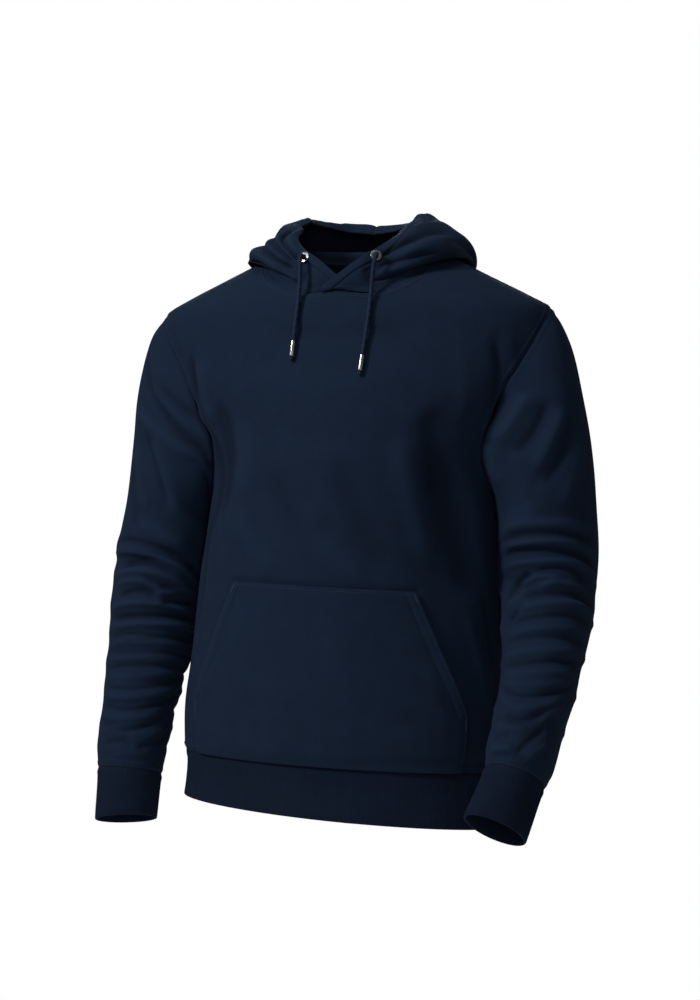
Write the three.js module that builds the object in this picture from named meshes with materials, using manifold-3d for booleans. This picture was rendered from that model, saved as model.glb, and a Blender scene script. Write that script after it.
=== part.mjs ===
// Pullover hoodie in fleece, filled out as if put on: front, back, two sleeves, ribbed hem and
// cuffs, a two-panel hood lying down, a kangaroo pocket, and a drawcord through two eyelets.
// Millimetres. +Z is up, the front faces -Y, and +X is the garment's own left.
// The origin is in the neck opening, where the shoulders hold the garment up.
import * as THREE from 'three';
import { mergeVertices } from 'three/addons/utils/BufferGeometryUtils.js';
import Module from 'manifold-3d';

const wasm = await Module();
wasm.setup();

const deg = Math.PI / 180;

// Walls and gaps
const wall = { fleece: 2.4, rib: 3, hood: 3.4, pocket: 2.2 };
const seamGap = 0.32;
// At a slanted seam the cut edge is drawn back by more than half the gap, to leave the gap square
const armholePull = 1.7;

// Body: heights of its main levels, and how many strips each stretch is cut into
const body = {
  tipHeight: -58, neckHeight: 13.5, underarm: -285, hemSeam: -616.5, hemTilt: 0.055,
  hemBand: 62, hemBandTilt: 0.026, armholeScoop: 0.47, armholeScoopBack: 0.43,
};
const grid = { armhole: 10, lowerRows: 11, shoulder: 5, neckFront: 6, neckBack: 4, hemRows: 3 };

// Level sections of the body: half the width, how far the front and back stand off the middle,
// and how far the middle leans to one side
const bodyRows = [
  { z: -682, half: 210, front: 134, back: 121, lean: -16 },
  { z: -645, half: 205, front: 129, back: 117, lean: -15 },
  { z: -616, half: 203, front: 130, back: 118, lean: -15 },
  { z: -598, half: 207, front: 134, back: 122, lean: -15 },
  { z: -540, half: 205, front: 136, back: 121, lean: -15 },
  { z: -480, half: 197, front: 135, back: 116, lean: -14 },
  { z: -400, half: 190, front: 133, back: 111, lean: -12 },
  { z: -340, half: 185, front: 134, back: 113, lean: -8 },
  { z: -285, half: 181, front: 135, back: 119, lean: -4 },
  { z: -250, half: 183, front: 135, back: 122, lean: -2 },
  { z: -216, half: 195, front: 132, back: 124, lean: 0 },
  { z: -190, half: 211, front: 130, back: 124, lean: 0 },
  { z: -152, half: 232, front: 124, back: 122, lean: 0 },
  { z: -115, half: 245, front: 115, back: 117, lean: 0 },
  { z: -85, half: 250, front: 108, back: 110, lean: 0 },
  { z: -58, half: 245, front: 102, back: 103, lean: 0 },
  { z: -42, half: 218, front: 96, back: 96, lean: 0 },
  { z: -22, half: 178, front: 82, back: 87, lean: 0 },
  { z: -6, half: 146, front: 61, back: 74, lean: 0 },
  { z: 6, half: 122, front: 42, back: 61, lean: 0 },
  { z: 15, half: 105, front: 24, back: 46, lean: 0 },
];

// Neckline: how far out and how high, from the centre (0) to the end of the shoulder seam (1)
const neckFrontRows = [
  { part: 0, out: 0, z: -38 },
  { part: 0.17, out: 18, z: -40 },
  { part: 0.33, out: 42, z: -42 },
  { part: 0.5, out: 70, z: -37.5 },
  { part: 0.67, out: 98, z: -23 },
  { part: 0.84, out: 111, z: -5 },
  { part: 1, out: 108, z: 13.5 },
];
const neckBackRows = [
  { part: 0, out: 0, z: 4 },
  { part: 0.5, out: 54, z: 6 },
  { part: 0.8, out: 90, z: 10 },
  { part: 1, out: 108, z: 13.5 },
];

// Folds of the body: soft ridges (+) and troughs (-) that run up and down. around is measured
// from the centre front in degrees, veer is how far a fold turns over its own length.
const bodyFolds = [
  { around: 50, top: -165, bottom: -520, veer: 5, spread: 11, depth: -7 },
  { around: 70, top: -210, bottom: -500, veer: 0, spread: 9, depth: 4 },
  { around: 59, top: -95, bottom: -200, veer: 6, spread: 5, depth: -4 },
  { around: -60, top: -190, bottom: -350, veer: -8, spread: 8, depth: -6 },
  { around: -44, top: -150, bottom: -430, veer: 4, spread: 12, depth: 3 },
  { around: -60, top: -90, bottom: -190, veer: 4, spread: 5, depth: -4 },
  { around: 142, top: -230, bottom: -560, veer: 8, spread: 12, depth: -7 },
  { around: 163, top: -260, bottom: -600, veer: 4, spread: 10, depth: 4 },
  { around: 122, top: -130, bottom: -330, veer: 10, spread: 8, depth: -5 },
  { around: -138, top: -240, bottom: -580, veer: -6, spread: 12, depth: -7 },
  { around: -162, top: -300, bottom: -610, veer: -3, spread: 10, depth: 4 },
  { around: -121, top: -130, bottom: -320, veer: -9, spread: 8, depth: -5 },
];

// Sleeves: rings down each arm. along is the length down the arm; the outer and inner ends of a
// ring, the middle's place in Y, half its depth, and the pitch of a forearm carried forward.
const sleeveRows = {
  left: [
    { along: 0, outX: 244, outZ: -58, inX: 180, inZ: -285, y: 0, deep: 60, pitch: 0 },
    { along: 16, outX: 258, outZ: -78, inX: 183, inZ: -291, y: 0, deep: 62, pitch: 0 },
    { along: 38, outX: 271, outZ: -110, inX: 184, inZ: -300, y: 0, deep: 64, pitch: -2 },
    { along: 68, outX: 283, outZ: -158, inX: 184, inZ: -314, y: 0, deep: 66, pitch: -3 },
    { along: 110, outX: 295, outZ: -225, inX: 183, inZ: -335, y: 2, deep: 66, pitch: -4 },
    { along: 157, outX: 301, outZ: -300, inX: 183, inZ: -362, y: 6, deep: 65, pitch: -3 },
    { along: 200, outX: 303, outZ: -360, inX: 185, inZ: -390, y: 8, deep: 62, pitch: 2 },
    { along: 235, outX: 301, outZ: -402, inX: 187, inZ: -410, y: 2, deep: 59, pitch: 12 },
    { along: 275, outX: 299, outZ: -446, inX: 192, inZ: -440, y: -16, deep: 55, pitch: 20 },
    { along: 325, outX: 290, outZ: -494, inX: 194, inZ: -482, y: -38, deep: 50, pitch: 25 },
    { along: 365, outX: 286, outZ: -530, inX: 196, inZ: -516, y: -56, deep: 48, pitch: 26 },
    { along: 412, outX: 275, outZ: -574, inX: 191, inZ: -558, y: -77, deep: 46, pitch: 26 },
    { along: 458, outX: 267, outZ: -616, inX: 187, inZ: -600, y: -98, deep: 44, pitch: 26 },
    { along: 476, outX: 259, outZ: -634, inX: 187, inZ: -617, y: -106, deep: 39, pitch: 27 },
    { along: 543, outX: 242, outZ: -695, inX: 168, inZ: -673, y: -136, deep: 40, pitch: 28 },
  ],
  right: [
    { along: 0, outX: 244, outZ: -58, inX: 184, inZ: -285, y: 0, deep: 60, pitch: 0 },
    { along: 16, outX: 262, outZ: -80, inX: 187, inZ: -291, y: 0, deep: 62, pitch: 0 },
    { along: 38, outX: 275, outZ: -113, inX: 188, inZ: -299, y: 1, deep: 64, pitch: -1 },
    { along: 68, outX: 286, outZ: -160, inX: 189, inZ: -311, y: 3, deep: 64, pitch: -3 },
    { along: 110, outX: 294, outZ: -225, inX: 190, inZ: -330, y: 6, deep: 62, pitch: -4 },
    { along: 157, outX: 304, outZ: -290, inX: 192, inZ: -358, y: 10, deep: 60, pitch: -3 },
    { along: 206, outX: 317, outZ: -352, inX: 200, inZ: -392, y: 13, deep: 58, pitch: 0 },
    { along: 261, outX: 325, outZ: -420, inX: 213, inZ: -432, y: 10, deep: 55, pitch: 5 },
    { along: 317, outX: 326, outZ: -478, inX: 219, inZ: -486, y: 2, deep: 52, pitch: 9 },
    { along: 365, outX: 328, outZ: -526, inX: 231, inZ: -532, y: -8, deep: 48, pitch: 10 },
    { along: 402, outX: 329, outZ: -563, inX: 238, inZ: -569, y: -16, deep: 46, pitch: 11 },
    { along: 447, outX: 332, outZ: -607, inX: 245, inZ: -613, y: -26, deep: 44, pitch: 11 },
    { along: 476, outX: 329, outZ: -634, inX: 248, inZ: -638, y: -33, deep: 40, pitch: 12 },
    { along: 538, outX: 328, outZ: -698, inX: 250, inZ: -691, y: -46, deep: 39, pitch: 13 },
  ],
};
const sleeveRings = [0, 7, 17, 29, 43, 59, 78, 100, 124, 149, 172];
const forearmStep = 13;
const cuff = { seam: 476, rows: 3, fade: 14 };

// Folds of the sleeves. around goes from the outer side (0) by the front (90) to the inner side
// (180) and the back (270); z is the height at that place, slope the rise for each degree.
const sleeveFolds = {
  left: [
    { around: 100, z: -190, slope: -0.75, reach: 55, spread: 11, depth: -5 },
    { around: 62, z: -228, slope: -1.6, reach: 42, spread: 12, depth: -5 },
    { around: 250, z: -200, slope: 0.9, reach: 55, spread: 13, depth: -5 },
    { around: 110, z: -345, slope: 0.05, reach: 75, spread: 7, depth: 3 },
    { around: 60, z: -380, slope: 0.12, reach: 90, spread: 8, depth: 4 },
    { around: 125, z: -400, slope: 0.28, reach: 50, spread: 7, depth: -6 },
    { around: 40, z: -424, slope: 0.1, reach: 100, spread: 8, depth: 4 },
    { around: 260, z: -392, slope: -0.1, reach: 80, spread: 10, depth: -5 },
    { around: 70, z: -477, slope: 0.05, reach: 120, spread: 8, depth: 4 },
    { around: 220, z: -505, slope: 0.1, reach: 90, spread: 8, depth: 3 },
    { around: 80, z: -514, slope: 0, reach: 120, spread: 7, depth: 3 },
    { around: 60, z: -546, slope: -0.08, reach: 110, spread: 8, depth: 4 },
    { around: 250, z: -560, slope: 0.08, reach: 90, spread: 8, depth: 3 },
    { around: 90, z: -590, slope: 0.04, reach: 120, spread: 8, depth: 4 },
  ],
  right: [
    { around: 70, z: -196, slope: -0.9, reach: 55, spread: 11, depth: -5 },
    { around: 60, z: -232, slope: -0.8, reach: 50, spread: 11, depth: -4 },
    { around: 255, z: -205, slope: 0.8, reach: 55, spread: 13, depth: -5 },
    { around: 50, z: -352, slope: 0.02, reach: 95, spread: 8, depth: 4 },
    { around: 70, z: -369, slope: 0.06, reach: 80, spread: 7, depth: -5 },
    { around: 60, z: -388, slope: -0.05, reach: 90, spread: 8, depth: 4 },
    { around: 235, z: -398, slope: 0.1, reach: 90, spread: 10, depth: -5 },
    { around: 80, z: -421, slope: 0.1, reach: 110, spread: 8, depth: 4 },
    { around: 70, z: -460, slope: 0.02, reach: 110, spread: 8, depth: 4 },
    { around: 230, z: -478, slope: -0.08, reach: 90, spread: 8, depth: 3 },
    { around: 60, z: -497, slope: 0.05, reach: 110, spread: 8, depth: 4 },
    { around: 90, z: -534, slope: -0.05, reach: 120, spread: 8, depth: 4 },
    { around: 240, z: -550, slope: 0.06, reach: 90, spread: 8, depth: 3 },
    { around: 70, z: -575, slope: 0.04, reach: 120, spread: 8, depth: 3 },
    { around: 100, z: -602, slope: 0, reach: 120, spread: 7, depth: 3 },
  ],
};

// Hood: sections round the neck, each from its neck seam over the rise, along the underside of
// the drape to its lowest fold, up the outside to the top, and down to the face edge.
// around is measured from the centre front; r is the distance from the middle of the neck.
const hoodRows = [
  {
    around: -12, riseR: 96, riseZ: -39.4, underR: 96.2, underZ: -39, foldR: 96.4, foldZ: -38.6,
    bellyR: 96.6, bellyZ: -38, upperR: 96.7, upperZ: -37.4, topR: 96.6, topZ: -36.8,
    edgeR: 96.4, edgeZ: -36, slump: 0,
  },
  {
    around: 0, riseR: 96, riseZ: -36, underR: 96.4, underZ: -34, foldR: 96.8, foldZ: -32,
    bellyR: 97, bellyZ: -29.5, upperR: 97, upperZ: -27, topR: 96.6, topZ: -24,
    edgeR: 96, edgeZ: -21, slump: 0,
  },
  {
    around: 15, riseR: 97.5, riseZ: -36, underR: 98, underZ: -32, foldR: 98.5, foldZ: -28,
    bellyR: 98.5, bellyZ: -22, upperR: 97.5, upperZ: -15, topR: 96, topZ: -8,
    edgeR: 93, edgeZ: -2, slump: 0,
  },
  {
    around: 30, riseR: 102, riseZ: -36, underR: 100, underZ: -31, foldR: 99, foldZ: -25,
    bellyR: 98, bellyZ: -15, upperR: 96, upperZ: -5, topR: 93.5, topZ: 4, edgeR: 90, edgeZ: 12, slump: 0,
  },
  {
    around: 46, riseR: 107, riseZ: -25, underR: 106, underZ: -19, foldR: 109, foldZ: -15,
    bellyR: 113, bellyZ: -4, upperR: 107, upperZ: 9, topR: 96, topZ: 20, edgeR: 82, edgeZ: 26, slump: 0,
  },
  {
    around: 60, riseR: 111, riseZ: -12, underR: 112, underZ: -7, foldR: 118, foldZ: -5,
    bellyR: 122, bellyZ: 7, upperR: 112, upperZ: 21, topR: 94, topZ: 32, edgeR: 74, edgeZ: 34, slump: 2,
  },
  {
    around: 75, riseR: 110, riseZ: 6, underR: 118, underZ: 7, foldR: 131, foldZ: 2,
    bellyR: 134, bellyZ: 14, upperR: 119, upperZ: 31, topR: 95, topZ: 44, edgeR: 71, edgeZ: 43, slump: 4,
  },
  {
    around: 92, riseR: 104, riseZ: 23, underR: 121, underZ: 15, foldR: 142, foldZ: 3,
    bellyR: 143, bellyZ: 15, upperR: 124, upperZ: 35, topR: 97, topZ: 53, edgeR: 71, edgeZ: 51, slump: 10,
  },
  {
    around: 112, riseR: 100, riseZ: 22, underR: 124, underZ: 4, foldR: 143, foldZ: -20,
    bellyR: 145, bellyZ: 4, upperR: 125, upperZ: 36, topR: 95, topZ: 62, edgeR: 74, edgeZ: 57, slump: 11,
  },
  {
    around: 135, riseR: 82, riseZ: 17, underR: 122, underZ: -36, foldR: 148, foldZ: -82,
    bellyR: 162, bellyZ: -44, upperR: 138, upperZ: 23, topR: 99, topZ: 61, edgeR: 78, edgeZ: 55, slump: 7,
  },
  {
    around: 157, riseR: 72, riseZ: 13, underR: 128, underZ: -84, foldR: 151, foldZ: -134,
    bellyR: 173, bellyZ: -96, upperR: 150, upperZ: 6, topR: 104, topZ: 57, edgeR: 81, edgeZ: 50, slump: 2,
  },
  {
    around: 180, riseR: 69, riseZ: 12, underR: 129, underZ: -104, foldR: 152, foldZ: -154,
    bellyR: 175, bellyZ: -114, upperR: 158, upperZ: -6, topR: 107, topZ: 55, edgeR: 82, edgeZ: 47, slump: 0,
  },
];
const hoodStations = ['rise', 'under', 'fold', 'belly', 'upper', 'top', 'edge'];
const hoodSteps = [1, 2, 2, 2, 2, 2, 2];
const hood = { lapClear: 2.5, lapEnd: 16, lapFade: 30, restFrom: 62, restClear: 4.5, seamPull: 2.4 };
// The right panel slumps lower than the left: its share of the slump at each station
const slumpShare = { bellyR: 0.5, upperR: 1, upperZ: 0.8, topR: 0.3, topZ: 0.2 };

// Folds of the hood: ridges and troughs that fan out from the eyelets over the drape.
// start and end are shares of the way from the neck seam to the face edge.
const hoodFolds = {
  left: [
    { around: 58, turn: 16, start: 0.4, end: 1, spread: 8, depth: 3.5 },
    { around: 80, turn: 22, start: 0.4, end: 1, spread: 8, depth: -5 },
    { around: 103, turn: 10, start: 0.4, end: 1, spread: 9, depth: 5 },
    { around: 128, turn: 8, start: 0.45, end: 0.95, spread: 9, depth: -5 },
    { around: 152, turn: 6, start: 0.45, end: 0.95, spread: 8, depth: 4 },
  ],
  right: [
    { around: 62, turn: 20, start: 0.4, end: 1, spread: 7, depth: 4 },
    { around: 81, turn: 16, start: 0.4, end: 1, spread: 6, depth: -8 },
    { around: 98, turn: 12, start: 0.4, end: 1, spread: 7, depth: 5 },
    { around: 114, turn: 8, start: 0.4, end: 1, spread: 6, depth: -8 },
    { around: 130, turn: 6, start: 0.4, end: 1, spread: 7, depth: 5 },
    { around: 150, turn: 4, start: 0.45, end: 0.95, spread: 8, depth: -4 },
  ],
};

// How quickly a hood fold comes up, and how far along the sine it stops, to stay open at the edge
const foldEase = { rise: 2.2, reach: 0.93 };

// Kangaroo pocket on the front, laid on the body's own surface
const pocket = {
  topHeight: -400, topTilt: 0.05, topHalf: 37, wideHeight: -549, wideHalf: 57, footHalf: 54.5,
  clear: 1.0, hemClear: 1.2, columns: 16, slantRows: 7, footRows: 3,
};

// Eyelets, drawcord and aglets
const eyelet = {
  around: 29, part: 0.86, outer: 7, hole: 3.2, barrel: 4, flange: 1.1, rim: 0.5, sides: 14, punch: 16,
};
const cord = { radius: 2.8, sides: 8 };
const aglet = { radius: 3.1, length: 19.5, bevel: 0.5, tip: 5, tipRadius: 2.4, sides: 12 };
const cordSteps = 22;
const cordRoutes = {
  left: [
    [45.1, -81.3, 2.9], [46.3, -83.9, 4], [47.2, -86.1, 4.9], [48.1, -89, 5.4], [48.6, -92.1, 4.6],
    [48.6, -95, 2.4], [48.2, -97.3, -1.2], [47.6, -98.9, -6], [46.9, -99.9, -12], [46.1, -100.5, -20],
    [45.4, -101, -29], [44.8, -101.8, -39], [44.1, -103.2, -49.5], [43.3, -105.3, -61],
    [42.2, -108.3, -74.5], [40.9, -111.9, -89.5], [39.5, -115.6, -104.5], [38.2, -119.2, -119],
  ],
  right: [
    [-44.95, -80.7, 2.95], [-45.7, -83.4, 4], [-46.3, -85.7, 4.9], [-46.8, -88.6, 5.4],
    [-47, -91.7, 4.6], [-46.8, -94.6, 2.3], [-46.4, -97, -1.4], [-46, -98.6, -6.2],
    [-45.7, -99.6, -12.5], [-45.6, -100.3, -20.5], [-45.7, -101, -29.5], [-46, -101.9, -39],
    [-46.6, -103.3, -49], [-47.3, -105.2, -60],
    [-48.2, -107.9, -73], [-49.1, -111, -87], [-49.8, -113.8, -100],
  ],
};

const colours = { fleece: 0x1a2537, rib: 0x172234, cord: 0x131d2e, metal: 0xb9bcc0 };

// Small helpers

const lerp = (a, b, f) => a + (b - a) * f;
const mix = (p, q, f) => p.clone().lerp(q, f);
const smooth = (f) => {
  const c = Math.min(1, Math.max(0, f));
  return c * c * (3 - 2 * c);
};
const bell = (d, spread) => Math.exp(-(d * d) / (2 * spread * spread));
const turnBetween = (a, b) => ((((a - b) % 360) + 540) % 360) - 180;

// Smooth curve through one column of a table whose rows go up in another column
function track(rows, key, column) {
  const at = rows.map((row) => row[key]);
  const value = rows.map((row) => row[column]);
  const last = at.length - 1;
  const slope = at.map((_, i) => {
    const a = Math.max(0, i - 1);
    const b = Math.min(last, i + 1);
    return (value[b] - value[a]) / (at[b] - at[a]);
  });
  return (x) => {
    let i = 0;
    while (i < last - 1 && x > at[i + 1]) i += 1;
    const h = at[i + 1] - at[i];
    const t = Math.min(1, Math.max(0, (x - at[i]) / h));
    const t2 = t * t;
    const t3 = t2 * t;
    return (2 * t3 - 3 * t2 + 1) * value[i] + (t3 - 2 * t2 + t) * h * slope[i]
      + (3 * t2 - 2 * t3) * value[i + 1] + (t3 - t2) * h * slope[i + 1];
  };
}

const bodyHalf = track(bodyRows, 'z', 'half');
const bodyFront = track(bodyRows, 'z', 'front');
const bodyBack = track(bodyRows, 'z', 'back');
const bodyLean = track(bodyRows, 'z', 'lean');

// Body surface

function bodyFold(angle, z) {
  const around = angle / deg;
  let depth = 0;
  for (const fold of bodyFolds) {
    const down = (fold.top - z) / (fold.top - fold.bottom);
    if (down < 0 || down > 1) continue;
    const ends = Math.sin(Math.PI * down) ** 2;
    const middle = fold.around + fold.veer * (down - 0.5);
    depth += fold.depth * ends * bell(turnBetween(around, middle), fold.spread);
  }
  return depth;
}

function bodyPoint(angle, z) {
  const depth = Math.cos(angle) >= 0 ? bodyFront(z) : bodyBack(z);
  const x = bodyHalf(z) * Math.sin(angle);
  const y = -depth * Math.cos(angle);
  const grow = 1 + bodyFold(angle, z) / Math.hypot(x, y);
  return new THREE.Vector3(bodyLean(z) + x * grow, y * grow, z);
}

function bodyNormal(angle, z) {
  const across = bodyPoint(angle + 0.01, z).sub(bodyPoint(angle - 0.01, z));
  const up = bodyPoint(angle, z + 0.5).sub(bodyPoint(angle, z - 0.5));
  return across.cross(up).normalize();
}

// Moves a point straight out from the body's middle until it stands clear of the cloth
function clearOfBody(point, clear) {
  if (point.z > body.neckHeight) return point;
  const x = point.x - bodyLean(point.z);
  const depth = point.y <= 0 ? bodyFront(point.z) : bodyBack(point.z);
  const angle = Math.atan2(x / bodyHalf(point.z), -point.y / depth);
  const surface = bodyPoint(angle, point.z);
  const surfaceReach = Math.hypot(surface.x - bodyLean(point.z), surface.y) + clear;
  const reach = Math.hypot(x, point.y);
  if (reach >= surfaceReach) return point;
  const grow = surfaceReach / reach;
  return new THREE.Vector3(bodyLean(point.z) + x * grow, point.y * grow, point.z);
}

// Armhole, from the shoulder tip (step 0) to the underarm (last step)

const armholeShare = (step) => (1 + Math.cos((Math.PI * step) / grid.armhole)) / 2;
const armholeHeight = (step) => lerp(body.underarm, body.tipHeight, armholeShare(step));

function armholeAngle(step, facing) {
  const scoop = facing === 'front' ? body.armholeScoop : body.armholeScoopBack;
  return Math.acos(scoop * Math.sin((Math.PI * step) / grid.armhole));
}

// A panel is a net of surface places: rows go up from the hem, columns across from -X to +X

const necks = {
  front: { out: track(neckFrontRows, 'part', 'out'), z: track(neckFrontRows, 'part', 'z') },
  back: { out: track(neckBackRows, 'part', 'out'), z: track(neckBackRows, 'part', 'z') },
};
const hemHeight = (angle) => body.hemSeam - body.hemTilt * bodyHalf(body.hemSeam) * Math.sin(angle);

function neckPlace(facing, part) {
  const z = necks[facing].z(part);
  const angle = part >= 1 ? Math.PI / 2 : Math.asin(necks[facing].out(part) / bodyHalf(z));
  return { angle, z };
}

function panelTop(facing, column, neckColumns) {
  const steps = Math.abs(column);
  if (steps <= neckColumns) return neckPlace(facing, steps / neckColumns);
  const down = (steps - neckColumns) / grid.shoulder;
  return { angle: Math.PI / 2, z: lerp(body.neckHeight, body.tipHeight, down) };
}

function panelPlaces(facing) {
  const neckColumns = facing === 'front' ? grid.neckFront : grid.neckBack;
  const half = neckColumns + grid.shoulder;
  const rows = [];
  const place = (column, angle, z) => {
    const turned = Math.sign(column) * angle;
    return { angle: facing === 'front' ? turned : Math.PI - turned, z };
  };
  for (let row = 0; row < grid.lowerRows; row += 1) {
    rows.push([]);
    for (let column = -half; column <= half; column += 1) {
      const angle = (Math.abs(column) / half) * (Math.PI / 2);
      const low = hemHeight(Math.sign(column) * angle);
      rows.at(-1).push(place(column, angle, lerp(low, body.underarm, row / grid.lowerRows)));
    }
  }
  for (let step = grid.armhole; step >= 0; step -= 1) {
    const share = armholeShare(step);
    const reach = armholeAngle(step, facing);
    rows.push([]);
    for (let column = -half; column <= half; column += 1) {
      const top = panelTop(facing, column, neckColumns);
      const across = Math.abs(column) / half;
      const spread = lerp(across, top.angle / (Math.PI / 2), share * share);
      rows.at(-1).push(place(column, reach * spread, lerp(body.underarm, top.z, share)));
    }
  }
  return rows;
}

// Nets of points to closed walls

const netOf = (places, make) => places.map((row) => row.map(make));

// Pulls the edge points of a net back by half a seam's gap
function insetNet(net, edges, share = 1) {
  const rows = net.length;
  const columns = net[0].length;
  const pulled = net.map((row) => row.map((point) => point.clone()));
  const pull = (row, column, toRow, toColumn) => {
    const way = net[toRow][toColumn].clone().sub(net[row][column]).normalize();
    pulled[row][column].addScaledVector(way, (share * seamGap) / 2);
  };
  for (let column = 0; column < columns; column += 1) {
    if (edges.includes('bottom')) pull(0, column, 1, column);
    if (edges.includes('top')) pull(rows - 1, column, rows - 2, column);
  }
  for (let row = 0; row < rows; row += 1) {
    if (edges.includes('sides')) pull(row, 0, row, 1);
    if (edges.includes('sides')) pull(row, columns - 1, row, columns - 2);
  }
  return pulled;
}

function solidFrom(positions, triangles) {
  let volume = 0;
  const [a, b, c] = [new THREE.Vector3(), new THREE.Vector3(), new THREE.Vector3()];
  for (const [i, j, k] of triangles) {
    volume += a.copy(positions[i]).dot(b.copy(positions[j]).cross(c.copy(positions[k])));
  }
  const outward = volume >= 0 ? triangles : triangles.map(([i, j, k]) => [i, k, j]);
  const geometry = new THREE.BufferGeometry().setFromPoints(positions);
  geometry.setIndex(outward.flat());
  return geometry;
}

// Joins an outer and an inner net, of one shape, into a wall. closed nets meet round a tube.
function wallBetween(outer, inner, closed) {
  const rows = outer.length;
  const columns = outer[0].length;
  const positions = [...outer.flat(), ...inner.flat()];
  const layer = rows * columns;
  const at = (side, row, column) => side * layer + row * columns + (column % columns);
  const triangles = [];
  // Each four-sided patch is split along its shorter diagonal, which follows the cloth better
  const quad = (a, b, c, d) => {
    const first = positions[a].distanceToSquared(positions[c]);
    const second = positions[b].distanceToSquared(positions[d]);
    if (first <= second) triangles.push([a, b, c], [a, c, d]);
    else triangles.push([a, b, d], [b, c, d]);
  };
  const lastColumn = closed ? columns : columns - 1;
  for (let row = 0; row < rows - 1; row += 1) {
    for (let column = 0; column < lastColumn; column += 1) {
      quad(at(0, row, column), at(0, row, column + 1), at(0, row + 1, column + 1), at(0, row + 1, column));
      quad(at(1, row, column), at(1, row + 1, column), at(1, row + 1, column + 1), at(1, row, column + 1));
    }
  }
  for (let column = 0; column < lastColumn; column += 1) {
    quad(at(1, 0, column), at(1, 0, column + 1), at(0, 0, column + 1), at(0, 0, column));
    const top = rows - 1;
    quad(at(0, top, column), at(0, top, column + 1), at(1, top, column + 1), at(1, top, column));
  }
  if (!closed) {
    const end = columns - 1;
    for (let row = 0; row < rows - 1; row += 1) {
      quad(at(0, row, 0), at(0, row + 1, 0), at(1, row + 1, 0), at(1, row, 0));
      quad(at(1, row, end), at(1, row + 1, end), at(0, row + 1, end), at(0, row, end));
    }
  }
  return solidFrom(positions, triangles);
}

const offsetNet = (net, normals, distance) => net.map((row, r) => row.map((point, c) => (
  point.clone().addScaledVector(normals[r][c], distance))));

// Normals of a net from its neighbours, pointing to the side that sign gives
function netNormals(net, closed, sign) {
  const rows = net.length;
  const columns = net[0].length;
  return net.map((row, r) => row.map((_, c) => {
    const before = closed ? (c + columns - 1) % columns : Math.max(0, c - 1);
    const after = closed ? (c + 1) % columns : Math.min(columns - 1, c + 1);
    const across = net[r][after].clone().sub(net[r][before]);
    const along = net[Math.min(rows - 1, r + 1)][c].clone().sub(net[Math.max(0, r - 1)][c]);
    return across.cross(along).multiplyScalar(sign).normalize();
  }));
}

// Sleeves

const fitted = (rows, key) => {
  const columns = Object.keys(rows[0]).filter((name) => name !== key);
  return Object.fromEntries(columns.map((name) => [name, track(rows, key, name)]));
};
const sleeveFits = { left: fitted(sleeveRows.left, 'along'), right: fitted(sleeveRows.right, 'along') };
const sign = { left: 1, right: -1 };
const ringCount = 2 * grid.armhole;

function sleeveRing(side, along) {
  const fit = sleeveFits[side];
  const outer = new THREE.Vector3(sign[side] * fit.outX(along), fit.y(along), fit.outZ(along));
  const inner = new THREE.Vector3(sign[side] * fit.inX(along), fit.y(along), fit.inZ(along));
  const middle = mix(outer, inner, 0.5);
  const across = outer.clone().sub(inner).multiplyScalar(0.5);
  const pitch = fit.pitch(along) * deg;
  const ahead = new THREE.Vector3(0, -Math.cos(pitch), Math.sin(pitch)).multiplyScalar(fit.deep(along));
  return { middle, across, ahead };
}

function sleeveFold(side, around, z) {
  let depth = 0;
  for (const fold of sleeveFolds[side]) {
    const turn = turnBetween(around, fold.around);
    if (Math.abs(turn) > fold.reach) continue;
    const ends = Math.cos((Math.PI / 2) * (turn / fold.reach)) ** 2;
    depth += fold.depth * ends * bell(z - fold.z - fold.slope * turn, fold.spread);
  }
  return depth;
}

// Where the armhole's own points lie, round the sleeve from the tip by the front to the back
function armholePoint(side, step) {
  const back = step > grid.armhole;
  const up = back ? ringCount - step : step;
  const angle = sign[side] * armholeAngle(up, back ? 'back' : 'front');
  return bodyPoint(back ? Math.PI - angle : angle, armholeHeight(up));
}

function armholeNormal(side, step) {
  const back = step > grid.armhole;
  const up = back ? ringCount - step : step;
  const angle = sign[side] * armholeAngle(up, back ? 'back' : 'front');
  return bodyNormal(back ? Math.PI - angle : angle, armholeHeight(up));
}

const ringPoint = (ring, step) => {
  const turn = (2 * Math.PI * step) / ringCount;
  const across = ring.across.clone().multiplyScalar(Math.cos(turn));
  return ring.middle.clone().add(across).addScaledVector(ring.ahead, Math.sin(turn));
};

const capBlend = { easeOut: 95, foldStart: 40, foldFull: 110, clear: 2.8, clearFrom: 0.3, clearRun: 22 };

function sleevePoint(side, along, step) {
  const ring = sleeveRing(side, along);
  const point = ringPoint(ring, step);
  const stray = armholePoint(side, step).sub(ringPoint(sleeveRing(side, 0), step));
  point.addScaledVector(stray, 1 - smooth(along / capBlend.easeOut));
  const around = (360 * step) / ringCount;
  const share = smooth((along - capBlend.foldStart) / (capBlend.foldFull - capBlend.foldStart));
  const seamShare = smooth((cuff.seam - along) / cuff.fade);
  const way = point.clone().sub(ring.middle).normalize();
  point.addScaledVector(way, share * seamShare * sleeveFold(side, around, point.z));
  if (along === 0) return point;
  return clearOfBody(point, capBlend.clear * Math.min(1, capBlend.clearFrom + along / capBlend.clearRun));
}

function ringAt(side, along) {
  return Array.from({ length: ringCount }, (_, step) => sleevePoint(side, along, step));
}

function ringList(side) {
  const list = [...sleeveRings];
  const last = list.at(-1);
  const count = Math.round((cuff.seam - last) / forearmStep);
  for (let i = 1; i <= count; i += 1) list.push(lerp(last, cuff.seam, i / count));
  return list.map((along) => ringAt(side, along));
}

const sleeveNets = { left: ringList('left'), right: ringList('right') };
// A ring goes the other way round on the right, so its normals turn over
const tubeNormals = (net, side) => netNormals(net, true, sign[side]);
const sleeveNormals = {
  left: tubeNormals(sleeveNets.left, 'left'),
  right: tubeNormals(sleeveNets.right, 'right'),
};

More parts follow.
